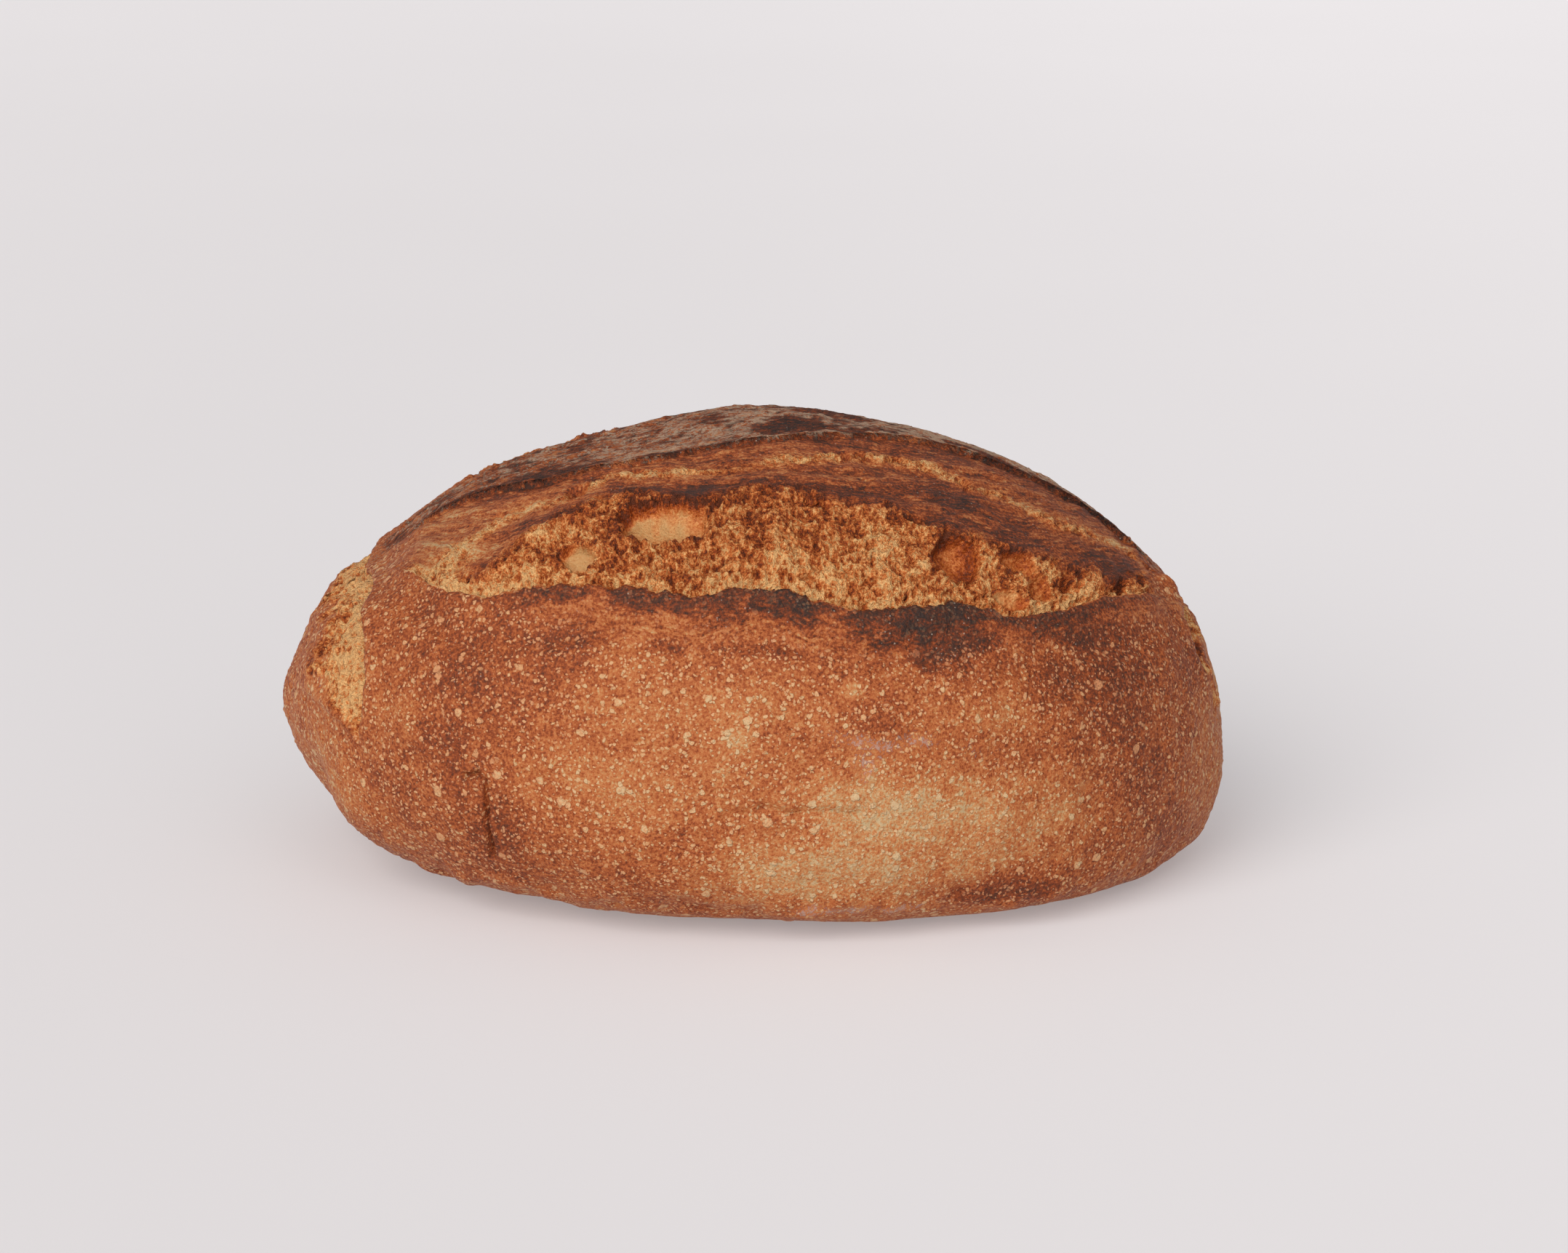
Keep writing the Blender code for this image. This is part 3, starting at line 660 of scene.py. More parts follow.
class LoafSkin:
    """The skin of the baked loaf as one grid, stations by rows, with its colours' masks.

    PARTING_TURN parts what follows the front cut from what follows the back cut, and BACK_SHIFT sets the
    noise of the two apart. Of the level above CHAR_LEVEL, CHAR_EASING is taken off again.
    """

    STATIONS = 650
    CREASE_ROWS = 5
    PARTING_TURN = 190.0
    BACK_SHIFT = 90.0
    LINES = ("lip", "ridge", "tear", "island")
    CHAR_LEVEL = 0.90
    CHAR_EASING = 0.5

    def __init__(self, form: DoughForm, scoring: Scoring, rows: Rows) -> None:
        """Lays out the grid.

        Args:
            form: The rounded loaf.
            scoring: The cuts and what tore open in them.
            rows: Numbers of rows.
        """
        self.form = form
        self.scoring = scoring
        self.rows = rows
        self.breaks: dict[str, int] = {}
        station = form.stations(self.STATIONS)
        self.lines = self.cut_lines(station)
        turn = self.lay_rows(station)
        self.x = self.warped(station[:, None] + 0 * turn, turn)
        self.turn = turn
        self.smooth, self.radius = form.points(self.x, turn)
        self.grounded = smoothstep(0, form.base_rounding, self.smooth[..., 2])
        self.measure()
        self.masks: dict[str, Array] = {}

    def cut_lines(self, station: Array) -> dict[str, Array]:
        """Turns of the cuts' lips, ridges and island edges at each station."""
        found = {}
        for name, cut in self.scoring.long_cuts():
            _, radius = self.form.points(station, through(cut.lip, station))
            lines = cut.lines(station, radius)
            found |= {f"{name}_{line}": turns for line, turns in lines.items()}
            fold = turn_of(self.rows.fold_reach, radius)
            room = np.abs(lines["ridge"] - lines["lip"]) * 0.3
            found[f"{name}_fold"] = lines["lip"] + cut.side * np.minimum(fold, room)
        return found

    def lay_rows(self, station: Array) -> Array:
        """Turns of the rows at each station, so that rows follow the edges of the cuts."""
        rows, lines = self.rows, self.lines
        start, end = np.zeros_like(station), np.full_like(station, 360.0)
        foot = start + rows.foot_turn
        zones = (
            ("start", start, rows.base),
            ("front_wall", foot, rows.front_wall),
            ("front_fold", lines["front_lip"], rows.fold),
            ("front_crumb", lines["front_fold"], rows.front_crumb),
            ("front_upper", lines["front_ridge"], rows.front_upper),
            ("island_front", lines["front_island"], rows.island),
            ("island_back", lines["back_island"], rows.back_upper),
            ("back_crumb", lines["back_ridge"], rows.back_crumb),
            ("back_fold", lines["back_fold"], rows.fold),
            ("back_wall", lines["back_lip"], rows.back_wall),
            ("base_back", end - foot, rows.base),
            ("end", end, 0),
        )
        turns: list[Array] = []
        for (name, low, count), (_, high, _) in zip(zones, zones[1:]):
            self.breaks[name] = len(turns)
            for row in range(count):
                share = row / count
                if name == "front_wall":
                    share = 1 - (1 - share) ** rows.gathering
                elif name == "back_wall":
                    share = share ** rows.gathering
                turns.append(low * (1 - share) + high * share)
        self.breaks["end"] = len(turns)
        self.breaks["front_crease"] = self.breaks["front_fold"] + self.CREASE_ROWS
        self.breaks["back_crease"] = self.breaks["back_wall"] - self.CREASE_ROWS
        return np.stack(turns, axis=-1)

    def warped(self, x: Array, turn: Array) -> Array:
        """x moved so that whole columns of the grid follow the sharp edges of the end cuts."""
        half = self.form.half_length
        for cut in self.scoring.end_cuts():
            edge = cut.inner_edge(turn)
            middle = np.mean(list(cut.edge.values()))
            nearest = x[np.argmin(np.abs(x[:, 0] - middle)), 0]
            room = half - abs(nearest)
            outer = np.clip((half - cut.side * x) / room, 0, 1)
            inner = bell(np.maximum(cut.side * (nearest - x), 0), 22)
            x = x + (edge - nearest) * np.where(cut.side * x > cut.side * nearest, outer, inner)
        return x

    def measure(self) -> None:
        """Distances in mm from the cuts' lines, positive from the lip towards the island."""
        self.from_line: dict[str, Array] = {}
        for name, cut in self.scoring.long_cuts():
            for line in self.LINES:
                gap = self.turn - self.lines[f"{name}_{line}"][:, None]
                self.from_line[f"{name}_{line}"] = cut.side * np.radians(gap) * self.radius
        ahead = self.turn < self.PARTING_TURN
        lip = np.where(ahead, self.from_line["front_lip"], self.from_line["back_lip"])
        self.place = np.stack([self.x, lip, np.where(ahead, 0.0, self.BACK_SHIFT)], axis=-1)

    def distances(self, name: str) -> tuple[Array, ...]:
        """Distances from one long cut's lip, ridge, second tear and island edge."""
        return tuple(self.from_line[f"{name}_{line}"] for line in self.LINES)

    def cut_relief(self, name: str, cut: LongCut) -> tuple[Array, Array]:
        """Rise of the skin about a long cut, and how far it leans towards the island."""
        from_lip, from_ridge, _, from_island = self.distances(name)
        x = self.x
        extent = cut.extent(x)
        share = through(cut.lip_share, x)
        rise = through(cut.lip_rise, from_lip)
        rise = np.where(rise > 0, rise * share, rise)
        line = np.stack([x, np.full_like(x, 2.0), np.full_like(x, cut.seed)], axis=-1)
        curl = 1 + 0.5 * noise(line, 4.2, cut.seed + 7) + 0.35 * noise(line, 1.9, cut.seed + 8)
        lean = through(cut.lip_lean, from_lip) * curl
        inside = smoothstep(0, 1.5, from_lip) * (from_island < 0)
        span = np.maximum(from_ridge - from_island, 1e-3)
        upper = np.clip(from_ridge / span, 0, 1)
        torn = (cut.ridge_rise * bell(from_ridge, cut.ridge_reach) - cut.trough_depth * np.sin(np.pi * upper)
                - cut.step_depth * bell(from_island, 2.0) * (from_island < 0))
        island = cut.island_rise * bell(from_island, 4.0) * (from_island >= 0)
        relief = (rise + torn * inside + island) * extent * cut.strength
        return relief, lean * extent * cut.strength * cut.side

    def pocket_relief(self) -> Array:
        """Rise of the skin in the torn bubbles, and in the masks their bare inner faces, the level of their
        insides and the painted shade along their upper left rims and inside the deep ones without a membrane.
        """
        relief = np.zeros_like(self.x)
        bare = np.zeros_like(self.x)
        toast = np.zeros_like(self.x)
        edges = np.zeros_like(self.x)
        wobble = 0.10 * noise(self.place, 2.6, 91) + 0.06 * noise(self.place, 1.2, 92)
        for pocket in self.scoring.pockets:
            share = pocket.share(self.x, self.turn, self.radius, wobble)
            inside = smoothstep(1.04, pocket.sharpness, share)
            height = np.radians(self.turn - pocket.turn) * self.radius / pocket.half_height
            relief -= pocket.depth * inside * (0.8 + 0.2 * np.clip(1 - share * share, 0, 1))
            cover = (pocket.membrane * smoothstep(1.03, 0.93, share)
                     * smoothstep(-1.0, -0.3, height + 3 * wobble))
            # Painted shade: the inside darkens along its upper left rim, where the overhang would shade it;
            # towards the right it browns.
            ahead = height * 0.8 - 0.9 * (self.x - pocket.x) / pocket.half_length
            painted_shade_and_browning = 0.75 * smoothstep(0.78, 0.98, share) * smoothstep(0.5, 1.3, ahead)
            beyond = (self.x - pocket.x) / pocket.half_length
            painted_shade_and_browning = painted_shade_and_browning + 0.24 * smoothstep(0.1, 0.9, beyond)
            # The inside's level: the pocket's toast, the painted shade and the browning, and browner low
            # down.
            toast = np.where(cover > bare, pocket.toast + painted_shade_and_browning + 0.20 * smoothstep(0.1, -0.8, height), toast)
            bare = np.maximum(bare, cover)
            # Painted shadow: a dark line just outside the upper left rim, and painted shade inside deep
            # pockets that have no membrane.
            edge = bell(share - 1.02, 0.14) * smoothstep(-0.3, 0.6, ahead) * min(1.0, pocket.depth / 3)
            dark = (smoothstep(1.0, 0.4, share) * (1 - pocket.membrane)
                    * np.clip((pocket.depth - 1.6) / 1.2, 0, 1))
            edges = np.maximum(edges, np.maximum(edge, 2.2 * dark))
        self.masks["membrane"] = bare
        self.masks["toast"] = toast
        self.masks["brink"] = edges * (1 - bare)
        return relief

    def regions(self) -> None:
        """Shares of torn crumb, drawn-out skin and floured top at each point, into the masks."""
        torn = np.zeros_like(self.x)
        gold = np.zeros_like(self.x)
        drawn = np.zeros_like(self.x)
        island = np.ones_like(self.x)
        for name, cut in self.scoring.long_cuts():
            lip, ridge, tear, rim = self.distances(name)
            wander = fractal(self.place, 7.0, 3, cut.seed + 5)
            open_here = smoothstep(0.2, 0.7, cut.extent(self.x)) * smoothstep(0.1, 0.5, lip)
            face = smoothstep(9.0, -3.0, ridge + 4.0 * wander)
            patchy = smoothstep(-0.75, 0.1, fractal(stretched(self.place, 1.0, 0.3), 16.0, 3, cut.seed + 6))
            seam = bell(tear + 2.0 * wander, 3.6) * (0.35 + 0.65 * patchy)
            below = smoothstep(-1.0, -4.0, tear + 2.0 * wander)
            window = smoothstep(-97, -90, self.x) * (1 - smoothstep(-82, -70, self.x))
            golden = below * window * (name == "front")
            torn = np.maximum(torn, np.maximum(np.maximum(face, golden), seam * (rim < -0.5)) * open_here)
            gold = np.maximum(gold, golden * open_here)
            drawn = np.maximum(drawn, open_here * (rim < 0))
            island = island * smoothstep(-1.5, 1.0, rim + wander)
        lip = self.from_line["front_lip"]
        shelf = bell(lip + 7.5, 3.6) * smoothstep(-60, -40, self.x)
        drawn = np.maximum(drawn, 0.85 * shelf * (1 - smoothstep(40, 56, self.x)))
        scorched = bell(lip + 3.0, 3.5) * (lip < 0.3)
        drawn = np.maximum(drawn, 0.8 * scorched * smoothstep(-66, -50, self.x))
        ends = smoothstep(-114, -100, self.x) * (1 - smoothstep(106, 118, self.x))
        for cut in self.scoring.end_cuts():
            torn = np.maximum(torn, cut.crumb(self.x, self.turn))
        self.masks["torn"] = torn
        self.masks["golden"] = gold
        self.masks["drawn"] = drawn * (1 - torn)
        self.masks["island"] = island * ends * (1 - torn) * (1 - drawn)

    def patch_layers(self) -> dict[Patch, Array]:
        """Strength of each kind of patch at each point, with uneven outlines."""
        shift = 5.0 * fractal(self.smooth, 24.0, 3, 131)
        lift = 4.0 * fractal(self.smooth, 20.0, 3, 141)
        mottle = fractal(self.smooth, 5.0, 4, 145)
        layers = {kind: np.zeros_like(self.x) for kind in Patch}
        for blotch in self.scoring.blotches:
            keep = min(1.0, blotch.half_height / 8)
            along = (self.x + shift * keep - blotch.x) / blotch.half_length
            around = np.radians(self.turn - blotch.turn) * self.radius + lift * keep
            share = np.hypot(along, around / blotch.half_height)
            layer = layers[blotch.kind]
            np.maximum(layer, blotch.strength * smoothstep(1.6, 0.2, share + 0.35 * mottle), out=layer)
        unseen = np.maximum(smoothstep(200, 230, self.turn) * smoothstep(352, 330, self.turn),
                            np.maximum(smoothstep(-108, -124, self.x), smoothstep(119, 127, self.x)))
        for kind, seed, low in ((Patch.DARK, 151, 0.25), (Patch.PALE, 161, 0.35), (Patch.GOLD, 171, 0.0),
                                (Patch.RED, 181, 0.0)):
            cloud = smoothstep(low, low + 0.7, fractal(self.smooth, 46.0, 3, seed)) * unseen * 0.8
            layers[kind] = np.maximum(layers[kind], cloud)
        return layers

    def heat(self) -> None:
        """How dark each point baked, 0 pale straw, 0.5 red brown and 1 charred, and its flour."""
        level = through({-130: 0.47, -112: 0.47, -95: 0.52, -60: 0.52, -20: 0.48, 20: 0.48, 60: 0.50,
                         105: 0.56, 118: 0.50, 130: 0.40}, self.x)
        level = level + 0.07 * smoothstep(-34, -4, self.from_line["front_lip"])
        level = level + 0.07 * fractal(self.smooth, 18.0, 4, 301) + 0.05 * fractal(self.smooth, 4.0, 3, 305)
        torn, drawn, island = (self.masks[name] for name in ("torn", "drawn", "island"))
        opened = np.zeros_like(self.x)
        for name, cut in self.scoring.long_cuts():
            opened = np.where(self.turn * cut.side < self.PARTING_TURN * cut.side,
                              self.opened_heat(name), opened)
        inside = np.clip(torn + drawn, 0, 1) * (self.place[..., 1] > 0)
        level = level * (1 - inside) + opened * inside
        top = 0.80 + 0.16 * fractal(self.smooth, 9.0, 4, 311) + 0.16 * fractal(self.smooth, 3.0, 3, 315)
        level = level * (1 - island) + top * island
        for cut in self.scoring.end_cuts():
            _, share, _ = cut.place(self.x, self.turn)
            slash = cut.crumb(self.x, self.turn)
            toast = 0.17 + 0.30 * smoothstep(0.4, 1.0, share) + 0.36 * fractal(self.place, 3.0, 4, cut.seed)
            level = level * (1 - slash) + (toast + 0.15 * bell(share - 1.0, 0.15)) * slash
        for kind, layer in self.patch_layers().items():
            level = level + kind.value * layer * (1 - 0.35 * torn)
            if kind is Patch.FLOUR:
                dust = through({-130: 0.3, -75: 0.2, -45: 0.42, 0: 0.65, 60: 0.9, 90: 0.8, 130: 0.6}, self.x)
                self.masks["flour"] = np.maximum(layer, dust * island)
        self.masks["level"] = level + self.burning()

    def opened_heat(self, name: str) -> Array:
        """How dark the opened cut baked: golden at the lip and the second tear, browner on the ridge."""
        lip, ridge, tear, rim = self.distances(name)
        height = np.clip(lip / np.maximum(lip - ridge, 1.0), 0, 1)
        along = through({-130: 0.10, -84: -0.26, -66: -0.20, -50: -0.04, -20: 0.05, 10: 0.04, 24: -0.02,
                         60: -0.05, 76: 0.0, 100: 0.04, 130: 0.1}, self.x)
        face = 0.37 + 0.30 * height ** 1.2 + along + 0.08 * bell(ridge, 4.0) - 0.12 * bell(lip - 1.0, 4.0)
        drift = through({-130: -0.1, -85: -0.12, -60: -0.08, -40: 0.0, 0: 0.06, 100: 0.06, 130: 0.0}, self.x)
        back = 0.78 + drift - 0.14 * smoothstep(4, 13, ridge) + 0.12 * bell(rim, 4.0)
        blend = smoothstep(-3, 3, ridge)
        seam = 0.28 * bell(tear, 3.2) + 0.36 * self.masks["golden"]
        level = face * (1 - blend) + back * blend - seam
        streaks = fractal(stretched(self.place, 0.18), 3.0, 3, 321)
        clumps = fractal(stretched(self.place, 1.0, 0.7), 6.0, 4, 331)
        specks = fractal(stretched(self.place, 0.6), 1.8, 2, 335)
        return level + 0.10 * streaks + 0.14 * specks + (0.08 + 0.20 * self.masks["torn"]) * clumps

    def burning(self) -> Array:
        """Rise of the level along lips and the island's edge."""
        total = np.zeros_like(self.x)
        for name, cut in self.scoring.long_cuts():
            lip, _, _, rim = self.distances(name)
            wander = fractal(stretched(self.place, 0.6), 5.0, 3, cut.seed + 9)
            width = through(cut.burn_width, self.x) * (1 + 0.5 * wander)
            band = smoothstep(1.0, 0.1, -lip / width) * (lip < 0.9)
            total += through(cut.burn, self.x) * band * cut.extent(self.x) * (0.93 + 0.5 * wander)
            total += 0.10 * bell(rim - 1.0, 3.0) * (0.6 + 1.4 * wander) * cut.extent(self.x)
        return total

    def crumb_detail(self, smooth: Array, place: Array) -> tuple[Array, Array]:
        """Relief and heat of torn crumb: a web of cell walls, drawn out across the cut, and small holes.
        Its hollows and holes are darker and its walls paler, partly painted shade and partly the crumb's own
        darker membranes.
        """
        swirl = np.stack([noise(smooth, 3.2, seed) for seed in (201, 202, 203)], axis=-1)
        spun = stretched(place, 1.0, 0.55) + swirl * 0.9 + smooth * 0.2
        relief = 0.55 * fractal(stretched(place, 1.0, 0.45), 5.0, 3, 205)
        relief += 0.7 * fractal(smooth, 10.0, 3, 209)
        heat = np.zeros(relief.shape)
        for size, height, toast, seed in ((3.6, 0.85, 0.16, 211), (1.9, 0.50, 0.16, 221)):
            first, second, own = nearest_seeds(spun, size, seed)
            border = second - first
            wall = smoothstep(0.28, 0.0, border)
            hollow = smoothstep(0.15, 0.6, border) * smoothstep(-0.6, 0.5, own)
            relief += height * (wall * 0.6 - hollow)
            # Painted shade: the cell hollows darken and the walls lighten, partly the crumb's own darker
            # membranes.
            heat += toast * (hollow * 1.4 - wall * 0.6)
        holes = domes(spun, 6.0, 231, 0.5, 0.24)
        # Painted shade darkens the holes.
        return relief - 1.3 * holes, heat + 0.22 * holes

    def drawn_detail(self, smooth: Array, place: Array) -> tuple[Array, Array]:
        """Relief and heat of drawn-out skin: low folds along the loaf."""
        folds = fractal(stretched(place, 0.2), 3.6, 4, 241)
        return 0.6 * folds + 0.5 * fractal(smooth, 7.0, 4, 245), -0.12 * folds

    def crust_detail(self, smooth: Array, place: Array) -> tuple[Array, Array]:
        """Relief and heat of baked crust: soft unevenness, large flat blisters and grain."""
        flat = domes(smooth, 8.0, 261, 0.4, 0.26)
        ragged = smoothstep(0.25, 0.6, flat + 0.5 * noise(smooth, 1.4, 265))
        relief = 0.35 * fractal(smooth, 10.0, 3, 251) + 0.2 * ragged + 0.22 * fractal(smooth, 1.8, 2, 255)
        blister = domes(smooth, 3.1, 271, 0.5, 0.36)
        return relief + 0.28 * blister, -0.16 * ragged - 0.10 * blister

    def island_detail(self, smooth: Array, place: Array) -> tuple[Array, Array]:
        """Relief and heat of the floured top: rough and scaly."""
        scales = fractal(smooth, 4.0, 4, 291)
        return 0.4 * scales + 0.25 * domes(smooth, 2.6, 295, 0.5, 0.4), -0.16 * scales

    def bake(self) -> None:
        """Raises the skin: dough, cuts and pockets first, then the fine relief along the new normals."""
        normal, along = directions(self.smooth)
        front, lean_front = self.cut_relief("front", self.scoring.front)
        back, lean_back = self.cut_relief("back", self.scoring.back)
        relief = front + back + self.form.unevenness(self.smooth) + self.pocket_relief()
        for groove in self.scoring.grooves:
            relief = relief + groove.relief(self.x, self.turn, self.radius)
        lengthwise = unit(np.gradient(self.smooth, axis=0))
        shift = np.zeros_like(self.smooth)
        for cut in self.scoring.end_cuts():
            rise, lean = cut.relief(self.x, self.turn)
            relief = relief + rise
            shift += lengthwise * (cut.side * lean)[..., None]
        relief = relief * self.grounded
        shift += along * (lean_front + lean_back)[..., None]
        points = self.smooth + normal * relief[..., None] + shift
        self.regions()
        self.heat()
        fine = self.fine_relief()
        normal, _ = directions(points)
        points = points + normal * (fine * self.grounded)[..., None]
        points[..., 2] = np.where(self.smooth[..., 2] <= 0, 0, np.maximum(points[..., 2], 0))
        self.points = points

    def fine_relief(self) -> Array:
        """Fine relief of the whole skin, each region with its own. Its heat, with painted shade in the
        crumb's hollows, goes into the masks, as does the pockets' painted shade.
        """
        masks = self.masks
        masks["crust"] = np.clip(1 - masks["torn"] - masks["drawn"] - masks["island"], 0, 1)
        fine = np.zeros_like(self.x)
        for name, detail in (("crust", self.crust_detail), ("torn", self.crumb_detail),
                             ("drawn", self.drawn_detail), ("island", self.island_detail)):
            share = masks[name]
            chosen = share > 0.004
            relief, heat = detail(self.smooth[chosen], self.place[chosen])
            kept = share[chosen] * (1 - 0.85 * masks["membrane"][chosen])
            fine[chosen] += relief * kept
            masks["level"][chosen] += heat * kept
        bare = masks["membrane"]
        inner = masks["toast"] + 0.18 * fractal(stretched(self.place, 1.0, 0.4), 3.0, 4, 341)
        # The pockets' insides take their toast, which holds painted shade, and painted shade along their rims
        # darkens the level.
        level = masks["level"] * (1 - bare) + inner * bare + 0.32 * masks["brink"]
        masks["level"] = level - self.CHAR_EASING * np.maximum(level - self.CHAR_LEVEL, 0)
        return fine


@dataclass
class SectorPiece:
    """One sector of the loaf as a closed mesh: its outer skin and plain walls to the loaf's long axis.

    The offset is where the form's middle lies in the frame, in mm. The rest says where the skin, the two
    walls and their shared edge lie on the map.
    """

    sector: Sector
    skin: LoafSkin
    offset: tuple[float, float, float] = (0.817, 0.491, 0.0)
    skin_across: tuple[float, float] = (0.004, 0.996)
    tips_across: tuple[float, float] = (0.001, 0.999)
    skin_up: tuple[float, float] = (0.003, 0.97)
    walls_up: tuple[float, float] = (0.975, 0.997)
    axis_up: float = 0.985

    def span(self) -> tuple[int, int]:
        """First and last row of the sector."""
        _, first, last = self.sector.value
        return self.skin.breaks[first], self.skin.breaks[last]

    def place(self, points: Array) -> Array:
        """Points in the frame, in metres."""
        return (points + np.array(self.offset)) * MM

    def faces(self, stations: int, rows: int) -> tuple[Array, Array, Array]:
        """Faces as corner indices.

        Args:
            stations: Number of stations.
            rows: Number of rows, both edges included.

        Returns:
            Skin quads, wall quads and triangles. The axis follows the skin, and the two tips come last.
        """
        index = np.arange(stations * rows).reshape(stations, rows)
        axis = stations * rows + np.arange(stations)
        left, right = stations * rows + stations, stations * rows + stations + 1
        skin = np.stack([index[:-1, :-1], index[1:, :-1], index[1:, 1:], index[:-1, 1:]], axis=-1)
        first = np.stack([index[:-1, 0], axis[:-1], axis[1:], index[1:, 0]], axis=-1)
        last = np.stack([index[:-1, -1], index[1:, -1], axis[1:], axis[:-1]], axis=-1)
        fan_left = np.stack([np.full(rows - 1, left), index[0, :-1], index[0, 1:]], axis=-1)
        fan_right = np.stack([np.full(rows - 1, right), index[-1, 1:], index[-1, :-1]], axis=-1)
        closing = np.array([[left, axis[0], index[0, 0]], [left, index[0, -1], axis[0]],
                            [right, index[-1, 0], axis[-1]], [right, axis[-1], index[-1, -1]]])
        triangles = np.concatenate([fan_left, fan_right, closing])
        return skin.reshape(-1, 4), np.concatenate([first, last]), triangles

    def mesh(self) -> bpy.types.Mesh:
        """The closed mesh with its map and the skin's masks."""
        name = self.sector.value[0]
        first, last = self.span()
        skin = self.skin
        columns = np.arange(first, last + 1) % skin.points.shape[1]
        outer = skin.points[:, columns]
        stations, rows = outer.shape[:2]
        x = skin.x[:, columns].mean(axis=1)
        belt = skin.form.half_sizes(x)[0]
        axis = np.stack([x, 0 * x, belt], axis=-1)
        tips = np.array([skin.form.points(np.array(side * skin.form.half_length), np.array(90.0))[0]
                         for side in (-1.0, 1.0)])
        vertices = self.place(np.concatenate([outer.reshape(-1, 3), axis, tips]))
        quads, walls, triangles = self.faces(stations, rows)
        mesh = bpy.data.meshes.new(name)
        four = np.concatenate([quads, walls])
        mesh.vertices.add(len(vertices))
        mesh.vertices.foreach_set("co", vertices.astype(np.float32).ravel())
        corners = np.concatenate([four.ravel(), triangles.ravel()])
        sizes = np.concatenate([np.full(len(four), 4), np.full(len(triangles), 3)])
        mesh.loops.add(len(corners))
        mesh.loops.foreach_set("vertex_index", corners.astype(np.int32))
        mesh.polygons.add(len(sizes))
        starts = np.concatenate([[0], np.cumsum(sizes)[:-1]])
        mesh.polygons.foreach_set("loop_start", starts.astype(np.int32))
        mesh.update(calc_edges=True)
        flat = np.zeros(len(sizes), bool)
        flat[len(quads):len(four)] = True
        flat[-4:] = True
        mesh.shade_smooth()
        mesh.attributes.new("sharp_face", "BOOLEAN", "FACE").data.foreach_set("value", flat)
        self.lay_map(mesh, quads, walls, triangles, stations, rows)
        self.lay_masks(mesh, columns, len(vertices))
        mesh.validate()
        return mesh

    def lay_map(self, mesh: bpy.types.Mesh, quads: Array, walls: Array, triangles: Array,
                stations: int, rows: int) -> None:
        """Lays the skin over most of the map, and the plain walls in a strip beside it."""
        across = np.linspace(*self.skin_across, stations)
        grid = np.stack(np.meshgrid(across, np.linspace(*self.skin_up, rows), indexing="ij"), axis=-1)
        axis = np.stack([across, np.full(stations, self.axis_up)], axis=-1)
        tips = np.array([[tip, 0.5] for tip in self.tips_across])
        places = np.concatenate([grid.reshape(-1, 2), axis, tips])
        uv = places[np.concatenate([quads.ravel(), walls.ravel(), triangles.ravel()])]
        wall = uv[quads.size:quads.size + walls.size].reshape(-1, 4, 2)
        outer = np.where(np.arange(len(wall))[:, None] < len(wall) // 2, *self.walls_up)
        wall[:, :, 1] = np.where(wall[:, :, 1] == self.axis_up, self.axis_up, outer)
        layer = mesh.uv_layers.new(name="OFBake")
        layer.uv.foreach_set("vector", uv.astype(np.float32).ravel())

    def lay_masks(self, mesh: bpy.types.Mesh, columns: Array, count: int) -> None:
        """Writes the skin's masks and its places along the cuts to the mesh."""
        masks = self.skin.masks
        for name, keys in LoafFinish.LAYERS.items():
            values = np.zeros((count, 4), np.float32)
            for channel, key in enumerate(keys):
                layer = masks[key][:, columns].ravel()
                values[:len(layer), channel] = layer
            mesh.attributes.new(name, "FLOAT_COLOR", "POINT").data.foreach_set("color", values.ravel())
        place = np.zeros((count, 3), np.float32)
        laid = self.skin.place[:, columns].reshape(-1, 3)
        place[:len(laid)] = laid
        mesh.attributes.new("place", "FLOAT_VECTOR", "POINT").data.foreach_set("vector", place.ravel())

    def build(self, material: bpy.types.Material) -> bpy.types.Object:
        """Makes the piece and hangs it on the loaf's body.

        Args:
            material: The loaf's baked finish.

        Returns:
            The new object.
        """
        mesh = self.mesh()
        mesh.materials.append(material)
        piece = bpy.data.objects.new(self.sector.value[0], mesh)
        bpy.context.scene.collection.objects.link(piece)
        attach(piece, "root")
        return piece


Value = Union["Signal", float]


class Signal:
    """One output of a shader node, with operators that add Math nodes."""

    def __init__(self, graph: "Graph", socket: bpy.types.NodeSocket) -> None:
        """Wraps an output socket of the graph."""
        self.graph = graph
        self.socket = socket

    def _math(self, operation: str, *values: Value) -> "Signal":
        """One Math node on these values."""
        return self.graph.node("ShaderNodeMath", {"operation": operation}, dict(enumerate(values)))

    def __add__(self, other: Value) -> "Signal":
        """Sum."""
        return self._math("ADD", self, other)

    def __radd__(self, other: Value) -> "Signal":
        """Sum with a number first."""
        return self._math("ADD", other, self)

    def __sub__(self, other: Value) -> "Signal":
        """Difference."""
        return self._math("SUBTRACT", self, other)

    def __rsub__(self, other: Value) -> "Signal":
        """Difference with a number first."""
        return self._math("SUBTRACT", other, self)

    def __mul__(self, other: Value) -> "Signal":
        """Product."""
        return self._math("MULTIPLY", self, other)

    def __rmul__(self, other: Value) -> "Signal":
        """Product with a number first."""
        return self._math("MULTIPLY", other, self)

    def beside(self, key: Union[str, int]) -> "Signal":
        """Another output of the same node, by its name or number."""
        return Signal(self.graph, self.graph.socket(self.socket.node.outputs, key))

    def greatest(self, other: Value) -> "Signal":
        """The greater of two values."""
        return self._math("MAXIMUM", self, other)

    def ramp(self, low: Value, high: Value) -> "Signal":
        """A smooth rise from 0 at low to 1 at high."""
        return self.graph.node("ShaderNodeMapRange", {"interpolation_type": "SMOOTHSTEP"},
                               {"Value": self, "From Min": low, "From Max": high})


